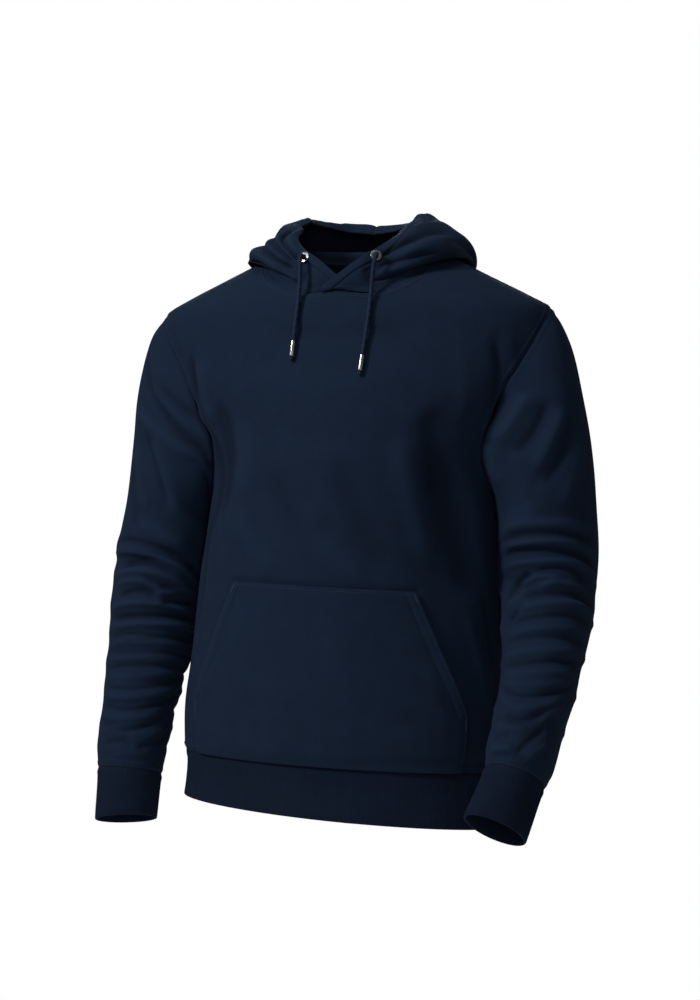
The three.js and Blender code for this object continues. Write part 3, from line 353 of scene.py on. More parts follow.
def makeShell(name, outer, facing, uv, relief, thick, material, closed=False, rim=shellLook["rim"]):
    rows, columns = outer.shape[:2]
    size = rows * columns
    inner = outer - facing * thick
    points = [outer.reshape(-1, 3), inner.reshape(-1, 3)]
    # relief marks the outer face for the painted highlight on crests and the painted shade in troughs; the
    # inner face has none
    marks = {"inner": [np.zeros(size), np.ones(size)], "relief": [relief.ravel(), np.zeros(size)]}
    wide = uv
    if closed:
        lap = uv[0, -1, 0] + uv[0, 1, 0] - 2 * uv[0, 0, 0]
        wide = np.concatenate([uv, uv[:, :1] + [[lap, 0]]], 1)
    r, c = np.meshgrid(np.arange(rows - 1), np.arange(columns if closed else columns - 1), indexing="ij")
    r, c = r.ravel(), c.ravel()
    start, after = r * columns, (c + 1) % columns
    front = np.stack([start + c, start + after, start + columns + after, start + columns + c], 1)
    frontUv = np.stack([wide[r, c], wide[r, c + 1], wide[r + 1, c + 1], wide[r + 1, c]], 1)
    faces = [front, front[:, ::-1] + size]
    uvs = [frontUv, frontUv[:, ::-1]]
    top, bottom = ([(row, i) for i in range(columns)] for row in (0, rows - 1))
    if closed:
        loops = [(top, 1), (bottom, rows - 2)]
    else:
        right = [(i, columns - 1) for i in range(1, rows - 1)]
        left = [(i, 0) for i in range(rows - 2, 0, -1)]
        loops = [(top + right + bottom[::-1] + left, None)]
    count = 2 * size
    for border, beside in loops:
        rr, cc = np.array(border).T
        if closed:
            outward = outer[rr, cc] - outer[beside, cc]
        else:
            outward = outer[rr, cc] - outer[stepInside(rr, rows - 1), stepInside(cc, columns - 1)]
        near, far = outer[rr, cc], inner[rr, cc]
        half = (near - far) / 2
        outward = unit(outward - unit(half) * np.sum(outward * unit(half), axis=1, keepdims=True))
        radius = np.linalg.norm(half, axis=1, keepdims=True) * shellLook["round"]
        layers = [rr * columns + cc]
        for i in range(1, rim + 1):
            turn = math.pi * i / (rim + 1)
            points.append((near + far) / 2 + half * math.cos(turn) + outward * radius * math.sin(turn))
            marks["inner"].append(np.full(len(rr), float(turn > math.pi / 2)))
            marks["relief"].append(relief[rr, cc])
            layers.append(count + np.arange(len(rr)))
            count += len(rr)
        layers.append(size + rr * columns + cc)
        edgeUv = uv[rr, cc]
        nextUv = np.roll(edgeUv, -1, axis=0)
        if closed:
            nextUv[-1] = wide[rr[-1], columns]
        turnOver = closed and rr[0] > 0  # the far edge of a tube faces the other way
        for low, high in zip(layers, layers[1:]):
            strip = np.stack([low, high, np.roll(high, -1), np.roll(low, -1)], 1)
            stripUv = np.stack([edgeUv, edgeUv, nextUv, nextUv], 1)
            faces.append(strip[:, [0, 3, 2, 1]] if turnOver else strip)
            uvs.append(stripUv[:, [0, 3, 2, 1]] if turnOver else stripUv)
    points, faces, uvs = (np.concatenate(parts) for parts in (points, faces, uvs))
    if meshVolume(points, faces) < 0:
        faces = faces[:, ::-1]
        uvs = uvs[:, ::-1]
    marks = {key: np.concatenate(value) for key, value in marks.items()}
    return writeMesh(name, points, faces, uvs, marks, material)


# Creases. Each is a stroke over a piece, from one end by its middle to the other, in the piece's
# own two measures; wide is its half width and deep its height, below zero for a trough.
# sharp above 0 draws the crest in, and ease is the share of each end that fades.
strokeLook = {"steps": 10, "reach": 3.2, "ease": 0.24, "point": 1.5, "longFrom": 85}


def strokeField(strokes, a, b, aScale):  # aScale is the mm of cloth to one step of the first measure
    field = np.zeros(a.shape)
    steps = strokeLook["steps"]
    t = np.linspace(0, 1, steps + 1)[:, None]
    for stroke in strokes:
        start, middle, end = stroke["start"], stroke["via"], stroke["end"]
        bend = 2 * middle - (start + end) / 2
        path = (1 - t) ** 2 * start + 2 * t * (1 - t) * bend + t**2 * end
        reach = strokeLook["reach"] * stroke["wide"]
        low, high = path.min(0), path.max(0)
        near = (a > low[0] - reach / aScale) & (a < high[0] + reach / aScale)
        near &= (b > low[1] - reach) & (b < high[1] + reach)
        if not near.any():
            continue
        x, y = a[near] * aScale, b[near]
        best = np.full(x.shape, 1e9)
        share = np.zeros(x.shape)
        for i in range(steps):
            px, py = path[i, 0] * aScale, path[i, 1]
            dx, dy = path[i + 1, 0] * aScale - px, path[i + 1, 1] - py
            along = np.clip(((x - px) * dx + (y - py) * dy) / (dx * dx + dy * dy + 1e-9), 0, 1)
            away = np.hypot(x - px - along * dx, y - py - along * dy)
            closer = away < best
            best = np.where(closer, away, best)
            share = np.where(closer, (i + along) / steps, share)
        far = best / stroke["wide"]
        profile = lerp(np.exp(-far**2), np.exp(-far * strokeLook["point"]), stroke["sharp"])
        ease = strokeLook["ease"]
        ends = smooth(share / ease + 0.02) * smooth((1 - share) / ease + 0.02)
        field[near] += stroke["deep"] * profile * ends
    return field


def strokes(lines, reach=0):  # start, middle and end, then wide, deep and, for some, sharp
    made = []
    for line in lines:
        start, via, end = (np.array(line[i:i + 2], float) for i in (0, 2, 4))
        if reach and end[0] - start[0] > strokeLook["longFrom"]:  # a long one runs on past both ends
            start = start - [reach, (via[1] - start[1]) * reach / (via[0] - start[0])]
            end = end + [reach, (end[1] - via[1]) * reach / (end[0] - via[0])]
        made.append({"start": start, "via": via, "end": end, "wide": line[6], "deep": line[7],
                     "sharp": line[8] if len(line) > 8 else 0})
    return made


# Body: level sections with half its width, how far its front and back stand off the middle, and
# how far the middle leans to one side
bodyRows = table("z half front back lean", [
    (-682, 210, 134, 121, -16), (-645, 205, 129, 117, -15), (-616, 203, 130, 118, -15),
    (-598, 207, 134, 122, -15), (-540, 205, 136, 121, -15), (-480, 197, 135, 116, -14),
    (-400, 190, 133, 111, -12), (-340, 185, 134, 113, -8), (-285, 181, 135, 119, -4),
    (-250, 183, 135, 122, -2), (-216, 195, 132, 124, 0), (-190, 211, 130, 124, 0),
    (-152, 232, 124, 122, 0), (-115, 245, 115, 117, 0), (-85, 250, 108, 110, 0),
    (-58, 245, 102, 103, 0), (-42, 218, 96, 96, 0), (-22, 178, 82, 87, 0),
    (-6, 146, 61, 74, 0), (6, 122, 42, 61, 0), (15, 105, 24, 46, 0),
])
bodySizes = {"tip": -58, "neckSide": 13.5, "underarm": -285, "hemSeam": -616.5, "hemTilt": 0.055,
             "hemBand": 62, "hemBandTilt": 0.026, "scoop": {"front": 0.47, "back": 0.43}, "wall": 2.4}
perDegree = 3.1  # mm of cloth to one degree round the body
fullMark = 3  # mm of relief at which the cloth's painted highlight or painted shade is full
# Neckline: how far out and how high, from the centre (0) to the end of the shoulder seam (1)
neckRows = {
    "front": table("part out z", [(0, 0, -38), (0.17, 18, -40), (0.33, 42, -42), (0.5, 70, -37.5),
                                  (0.67, 98, -23), (0.84, 111, -5), (1, 108, 13.5)]),
    "back": table("part out z", [(0, 0, 4), (0.5, 54, 6), (0.8, 90, 10), (1, 108, 13.5)]),
}
# Broad folds: around is from the centre front in degrees, veer how far a fold turns on its way
bodyFolds = table("around top bottom veer spread depth", [
    (50, -165, -520, 5, 11, -7), (70, -210, -500, 0, 9, 4), (59, -95, -200, 6, 5, -4),
    (-60, -190, -350, -8, 8, -6), (-44, -150, -430, 4, 12, 3), (-60, -90, -190, 4, 5, -4),
    (142, -230, -560, 8, 12, -7), (163, -260, -600, 4, 10, 4), (122, -130, -330, 10, 8, -5),
    (-138, -240, -580, -6, 12, -7), (-162, -300, -610, -3, 10, 4), (-121, -130, -320, -9, 8, -5),
])
bodyFit = fitted(bodyRows, "z")
neckFit = {facing: fitted(rows, "part") for facing, rows in neckRows.items()}


def bodyFold(angle, z):
    around = np.degrees(angle)
    depth = 0
    for fold in bodyFolds:
        down = np.clip((fold["top"] - z) / (fold["top"] - fold["bottom"]), 0, 1)
        middle = fold["around"] + fold["veer"] * (down - 0.5)
        across = bell(turnBetween(around, middle), fold["spread"])
        depth = depth + fold["depth"] * np.sin(np.pi * down) ** 2 * across
    return depth


def bodyPoint(angle, z):
    depth = np.where(np.cos(angle) >= 0, bodyFit["front"](z), bodyFit["back"](z))
    x = bodyFit["half"](z) * np.sin(angle)
    y = -depth * np.cos(angle)
    grow = 1 + bodyFold(angle, z) / np.hypot(x, y)
    return stack(bodyFit["lean"](z) + x * grow, y * grow, z)


def bodyNormal(angle, z):
    across = bodyPoint(angle + 0.01, z) - bodyPoint(angle - 0.01, z)
    return unit(np.cross(across, bodyPoint(angle, z + 0.5) - bodyPoint(angle, z - 0.5)))


def clearOfBody(points, clear):  # straight out from the body's middle until clear of the cloth
    z = np.minimum(points[..., 2], bodySizes["neckSide"])
    lean = bodyFit["lean"](z)
    x, y = points[..., 0] - lean, points[..., 1]
    depth = np.where(y <= 0, bodyFit["front"](z), bodyFit["back"](z))
    surface = bodyPoint(np.arctan2(x / bodyFit["half"](z), -y / depth), z)
    wanted = np.hypot(surface[..., 0] - lean, surface[..., 1]) + clear
    reach = np.maximum(np.hypot(x, y), 1e-6)
    grow = np.where((reach < wanted) & (points[..., 2] <= bodySizes["neckSide"]), wanted / reach, 1)
    return stack(lean + x * grow, y * grow, points[..., 2])


def armholeAngle(share, facing):  # share 1 at the shoulder tip, 0 at the underarm
    return np.arccos(bodySizes["scoop"][facing] * np.sin(np.arccos(np.clip(2 * share - 1, -1, 1))))


def armholeHeight(share):
    return lerp(bodySizes["underarm"], bodySizes["tip"], share)


def hemHeight(angle):
    seam = bodySizes["hemSeam"]
    return seam - bodySizes["hemTilt"] * bodyFit["half"](seam) * np.sin(angle)


def neckPlace(facing, part):
    z = neckFit[facing]["z"](part)
    angle = np.arcsin(np.clip(neckFit[facing]["out"](part) / bodyFit["half"](z), 0, 1))
    return np.where(part >= 1, np.pi / 2, angle), z


# Panels: rows go up from the hem seam to the neck and shoulder, columns across from -X to +X
panelGrid = {"lowerRows": 108, "upperRows": 82, "columns": 132,
             "neckShare": {"front": 6 / 11, "back": 4 / 9}}


def panelPlaces(facing):
    neckShare = panelGrid["neckShare"][facing]
    across = np.linspace(-1, 1, panelGrid["columns"] + 1)
    away = np.abs(across)
    side = np.sign(across)
    lowAngle = away * np.pi / 2
    lowShare = np.linspace(0, 1, panelGrid["lowerRows"] + 1)[:-1, None]
    lowZ = lerp(hemHeight(side * lowAngle), bodySizes["underarm"], lowShare)
    step = np.linspace(np.pi, 0, panelGrid["upperRows"] + 1)[:, None]
    share = (1 + np.cos(step)) / 2
    reach = np.arccos(bodySizes["scoop"][facing] * np.sin(step))
    topAngle, topZ = neckPlace(facing, np.minimum(away / neckShare, 1))
    shoulder = np.clip((away - neckShare) / (1 - neckShare), 0, 1)
    topZ = np.where(away > neckShare, lerp(bodySizes["neckSide"], bodySizes["tip"], shoulder), topZ)
    topAngle = np.where(away > neckShare, np.pi / 2, topAngle)
    upAngle = reach * lerp(away, topAngle / (np.pi / 2), share * share)
    upZ = lerp(bodySizes["underarm"], topZ, share)
    angle = np.concatenate([np.broadcast_to(lowAngle, lowZ.shape), upAngle]) * side
    z = np.concatenate([lowZ, upZ])
    return (angle if facing == "front" else np.pi - angle), z


def edgeDistances(net):  # cloth lengths from the first row, last row and both sides
    down = np.linalg.norm(np.diff(net, axis=0), axis=2)
    fromLow = np.concatenate([np.zeros((1, net.shape[1])), np.cumsum(down, axis=0)])
    over = np.linalg.norm(np.diff(net, axis=1), axis=2)
    fromFirst = np.concatenate([np.zeros((net.shape[0], 1)), np.cumsum(over, axis=1)], axis=1)
    return fromLow, fromLow[-1] - fromLow, fromFirst, fromFirst[:, -1:] - fromFirst


# A sewn edge dips into its seam, and the allowance under it lifts a band beside it
seamLook = {"dip": 1.5, "dipWide": 2.6, "band": 0.55, "bandWide": 9, "pucker": 0.22,
            "puckerLength": 11, "puckerWide": 7, "puckerDrift": 23}


def seamRelief(distance, along, share=1):
    dip = -seamLook["dip"] * np.exp(-(distance / seamLook["dipWide"]) ** 2)
    band = seamLook["band"] * smooth((seamLook["bandWide"] - distance) / 3)
    drift = 1.7 * np.sin(along / seamLook["puckerDrift"])
    wave = np.sin(along * 2 * np.pi / seamLook["puckerLength"] + drift)
    pucker = seamLook["pucker"] * wave * np.exp(-(distance / seamLook["puckerWide"]) ** 2)
    return share * (dip + band + pucker * smooth(distance / 2))


def waver(a, b, seed, size):  # slow unevenness of worn cloth, from a few crossed waves
    rng = np.random.default_rng(seed)
    total = np.zeros(np.broadcast(a, b).shape)
    for i in range(7):
        turn = rng.uniform(0, math.pi)
        length = size * rng.uniform(0.6, 1.8)
        at = (a * math.cos(turn) + b * math.sin(turn)) / length
        total += np.sin(2 * math.pi * at + rng.uniform(0, 6.28))
    return total / 7


# Kangaroo pocket: its heights, and its half widths in degrees round the body
pocketSizes = {"top": -400, "topTilt": 0.05, "topHalf": 37, "wide": -549, "wideHalf": 57,
               "footHalf": 54.5, "clear": 1.0, "wall": 2.2, "hemClear": 1.2, "rows": 80,
               "columns": 130, "slantShare": 0.66}
# The side swells towards the left sleeve, front and back alike
sideSwell = [(94, -345, 96, -420, 98, -490, 26, 4.6), (96, -286, 96, -345, 96, -430, 24, 2.2)]
panelStrokes = {
    "front": strokes(sideSwell + [
        # the garment's right: pull lines beside the armhole, and the soft hollow under the sleeve
        (-52, -110, -57, -150, -62, -190, 6, -4.9), (-46, -118, -50, -160, -52, -205, 9, 3.8),
        (-43, -168, -47, -235, -54, -330, 14, -5.2), (-61, -190, -61, -262, -67, -350, 13, -4.2),
        (-36, -190, -36, -240, -40, -300, 16, 3), (-74, -300, -66, -380, -70, -470, 11, -3),
        # the garment's left: the deep pull beside the armhole, then a long trough down to the pocket
        (48, -92, 56, -138, 63, -196, 4.5, -4.6, 0.4), (38, -102, 42, -150, 50, -205, 9, 1.6),
        (54, -90, 60, -120, 65, -150, 6, 1.6), (32, -176, 43, -235, 51, -300, 17, -5.2),
        (42, -226, 55, -320, 66, -420, 20, -6.6), (64, -262, 71, -345, 77, -440, 9, 1.2),
        (24, -200, 34, -290, 46, -390, 16, 3.4), (72, -400, 76, -455, 78, -520, 9, -3.0),
        (60, -420, 68, -500, 70, -580, 10, 2.4),
        # slack over the stomach, above the pocket
        (-26, -250, -12, -310, 6, -350, 18, -2), (4, -235, 14, -320, 27, -380, 17, -2.1),
        (-8, -290, 2, -350, 20, -392, 14, 2.1), (-38, -300, -30, -350, -14, -385, 15, 1.9),
        (-20, -80, 0, -92, 22, -80, 12, -1.7), (-30, -130, -6, -150, 24, -140, 18, 1.2),
    ]),
    "back": strokes(sideSwell + [
        (140, -120, 133, -170, 126, -225, 7, -3.0), (150, -130, 143, -190, 134, -250, 10, 2.0),
        (-141, -115, -134, -165, -127, -220, 7, -3.0), (-151, -130, -143, -185, -136, -245, 10, 2.0),
        (124, -230, 135, -330, 147, -430, 13, -2.6), (-123, -235, -133, -330, -146, -440, 13, -2.6),
        (158, -300, 152, -400, 160, -520, 16, 1.8), (-160, -320, -154, -420, -163, -540, 16, 1.8),
        (170, -150, 178, -165, -170, -152, 16, -1.6), (160, -420, 176, -450, -166, -436, 15, -1.9),
        (150, -505, 170, -540, -172, -528, 13, -2.0), (-150, -500, -166, -533, 178, -520, 12, 1.5),
        (138, -560, 156, -588, 176, -580, 10, 1.7), (-140, -565, -156, -590, -174, -583, 10, 1.6),
        (166, -225, 179, -240, -168, -230, 18, 1.2),
    ]),
}


panelLook = {"waver": 0.8, "waverSize": 95, "seed": {"front": 5, "back": 6}, "underPocket": -1.3}


def pocketCover(angle, z):  # 1 under the pocket, where the front lies smooth, fading to 0 beside it
    sizes = pocketSizes
    top = sizes["top"] - np.sin(angle) * bodyFit["half"](sizes["top"]) * sizes["topTilt"]
    down = np.clip((top - z) / (sizes["top"] - sizes["wide"]), 0, 1)
    half = lerp(sizes["topHalf"], sizes["wideHalf"], down)
    return smooth((top + 10 - z) / 8) * smooth((half + 3.5 - np.abs(np.degrees(angle))) / 2.5)


def makePanel(facing):
    angle, z = panelPlaces(facing)
    net, out = bodyPoint(angle, z), bodyNormal(angle, z)
    low, high, first, last = edgeDistances(net)
    around = np.degrees(angle)
    if facing == "back":
        around = np.where(around > 180, around - 360, around)
    relief = strokeField(panelStrokes[facing], around, z, perDegree)
    relief = relief + panelLook["waver"] * waver(around * perDegree, z, panelLook["seed"][facing],
                                                 panelLook["waverSize"])
    for distance, along in ((low, first), (high, first), (first, low), (last, low)):
        relief = relief + seamRelief(distance, along)
    if facing == "front":
        relief = lerp(relief, panelLook["underPocket"], pocketCover(angle, z))
    calm = smooth(np.minimum(np.minimum(low, high), np.minimum(first, last)) / 6)
    outer = net + out * relief[..., None]
    keepNet(facing, outer, out, low, high, first, last)
    uv = np.stack([around * perDegree, z], axis=-1)
    # the mark sets the painted highlight and painted shade, faded near the edges
    mark = np.clip(relief / fullMark, -1, 1) * calm
    return makeShell(f"cloth_{facing}", outer, out, uv, mark, bodySizes["wall"], fleece)


panels = {facing: makePanel(facing) for facing in ("front", "back")}
print("front and back made")

# Sleeves: rings from the armhole down. along is the length from the armhole; then come the outer
# and inner ends of a ring, its middle's place in Y, half its depth, and its pitch forward
sleeveColumns = "along outX outZ inX inZ y deep pitch"
sleeveRows = {
    "left": table(sleeveColumns, [
        (0, 244, -58, 180, -285, 0, 60, 0), (16, 258, -78, 183, -291, 0, 62, 0),
        (38, 271, -110, 184, -300, 0, 64, -2), (68, 283, -158, 184, -314, 0, 66, -3),
        (110, 295, -225, 183, -335, 2, 66, -4), (157, 301, -300, 183, -362, 6, 65, -3),
        (200, 303, -360, 185, -390, 8, 62, 2), (235, 301, -402, 187, -410, 2, 59, 12),
        (275, 299, -446, 192, -440, -16, 55, 20), (325, 290, -494, 194, -482, -38, 50, 25),
        (365, 286, -530, 196, -516, -56, 48, 26), (412, 275, -574, 191, -558, -77, 46, 26),
        (458, 267, -616, 187, -600, -98, 44, 26), (476, 259, -634, 187, -617, -106, 39, 27),
        (543, 242, -695, 168, -673, -136, 40, 28)]),
    "right": table(sleeveColumns, [
        (0, 244, -58, 184, -285, 0, 60, 0), (16, 262, -80, 187, -291, 0, 62, 0),
        (38, 275, -113, 188, -299, 1, 64, -1), (68, 286, -160, 189, -311, 3, 64, -3),
        (110, 294, -225, 190, -330, 6, 62, -4), (157, 304, -290, 192, -358, 10, 60, -3),
        (206, 317, -352, 200, -392, 13, 58, 0), (261, 325, -420, 213, -432, 10, 55, 5),
        (317, 326, -478, 219, -486, 2, 52, 9), (365, 328, -526, 231, -532, -8, 48, 10),
        (402, 329, -563, 238, -569, -16, 46, 11), (447, 332, -607, 245, -613, -26, 44, 11),
        (476, 329, -634, 248, -638, -33, 40, 12), (538, 328, -698, 250, -691, -46, 39, 13)]),
}
sleeveSizes = {"rows": 236, "columns": 126, "wall": 2.4, "cuffSeam": 476, "easeOut": 95,
               "foldStart": 40, "foldFull": 110, "foldShare": 0.5, "elbow": 190, "clear": 2.8,
               "clearFrom": 0.3, "clearRun": 22, "fade": 14, "crowd": 1.08}
# Broad folds: around goes from the outer side (0) by the front (90) to the inner side (180) and
# the back (270); z is the height at that place and slope its rise for each degree
foldColumns = "around z slope reach spread depth"
sleeveFolds = {
    "left": table(foldColumns, [
        (100, -190, -0.75, 55, 11, -5), (62, -228, -1.6, 42, 12, -5), (250, -200, 0.9, 55, 13, -5),
        (110, -345, 0.05, 75, 7, 3), (60, -380, 0.12, 90, 8, 4), (125, -400, 0.28, 50, 7, -6),
        (40, -424, 0.1, 100, 8, 4), (260, -392, -0.1, 80, 10, -5), (70, -477, 0.05, 120, 8, 4),
        (220, -505, 0.1, 90, 8, 3), (80, -514, 0, 120, 7, 3), (60, -546, -0.08, 110, 8, 4),
        (250, -560, 0.08, 90, 8, 3), (90, -590, 0.04, 120, 8, 4)]),
    "right": table(foldColumns, [
        (70, -196, -0.9, 55, 11, -5), (60, -232, -0.8, 50, 11, -4), (255, -205, 0.8, 55, 13, -5),
        (50, -352, 0.02, 95, 8, 4), (70, -369, 0.06, 80, 7, -5), (60, -388, -0.05, 90, 8, 4),
        (235, -398, 0.1, 90, 10, -5), (80, -421, 0.1, 110, 8, 4), (70, -460, 0.02, 110, 8, 4),
        (230, -478, -0.08, 90, 8, 3), (60, -497, 0.05, 110, 8, 4), (90, -534, -0.05, 120, 8, 4),
        (240, -550, 0.06, 90, 8, 3), (70, -575, 0.04, 120, 8, 3), (100, -602, 0, 120, 7, 3)]),
}
sleeveFit = {side: fitted(rows, "along") for side, rows in sleeveRows.items()}


def sleeveRing(side, along):
    fit = sleeveFit[side]
    outer = stack(sign[side] * fit["outX"](along), fit["y"](along), fit["outZ"](along))
    inner = stack(sign[side] * fit["inX"](along), fit["y"](along), fit["inZ"](along))
    pitch = np.radians(fit["pitch"](along))
    ahead = stack(0 * pitch, -np.cos(pitch), np.sin(pitch)) * fit["deep"](along)[..., None]
    return (outer + inner) / 2, (outer - inner) / 2, ahead


def ringPoint(ring, around):
    middle, across, ahead = ring
    turn = np.radians(around)[..., None]
    return middle + across * np.cos(turn) + ahead * np.sin(turn)


def armholePoint(side, around):  # the armhole's own points, round the sleeve from the tip
    back = around > 180
    turn = np.radians(np.where(back, 360 - around, around))
    share = (1 + np.cos(turn)) / 2
    angle = sign[side] * np.where(back, armholeAngle(share, "back"), armholeAngle(share, "front"))
    return bodyPoint(np.where(back, np.pi - angle, angle), armholeHeight(share))


def sleeveFold(side, around, z):
    depth = 0
    for fold in sleeveFolds[side]:
        turn = turnBetween(around, fold["around"])
        ends = np.cos(np.pi / 2 * np.clip(turn / fold["reach"], -1, 1)) ** 2
        depth = depth + fold["depth"] * ends * bell(z - fold["z"] - fold["slope"] * turn, fold["spread"])
    return depth


def sleevePoint(side, along, around):
    sizes = sleeveSizes
    ring = sleeveRing(side, along)
    point = ringPoint(ring, around)
    stray = armholePoint(side, around) - ringPoint(sleeveRing(side, along * 0), around)
    point = point + stray * (1 - smooth(along / sizes["easeOut"]))[..., None]
    share = smooth((along - sizes["foldStart"]) / (sizes["foldFull"] - sizes["foldStart"]))
    share = share * smooth((sizes["cuffSeam"] - along) / sizes["fade"])
    way = unit(point - ring[0])
    share = share * lerp(1, sizes["foldShare"], smooth((along - sizes["elbow"]) / 40))
    point = point + way * (share * sleeveFold(side, around, point[..., 2]))[..., None]
    clear = sizes["clear"] * np.minimum(1, sizes["clearFrom"] + along / sizes["clearRun"])
    return np.where((along > 0)[..., None], clearOfBody(point, clear), point)


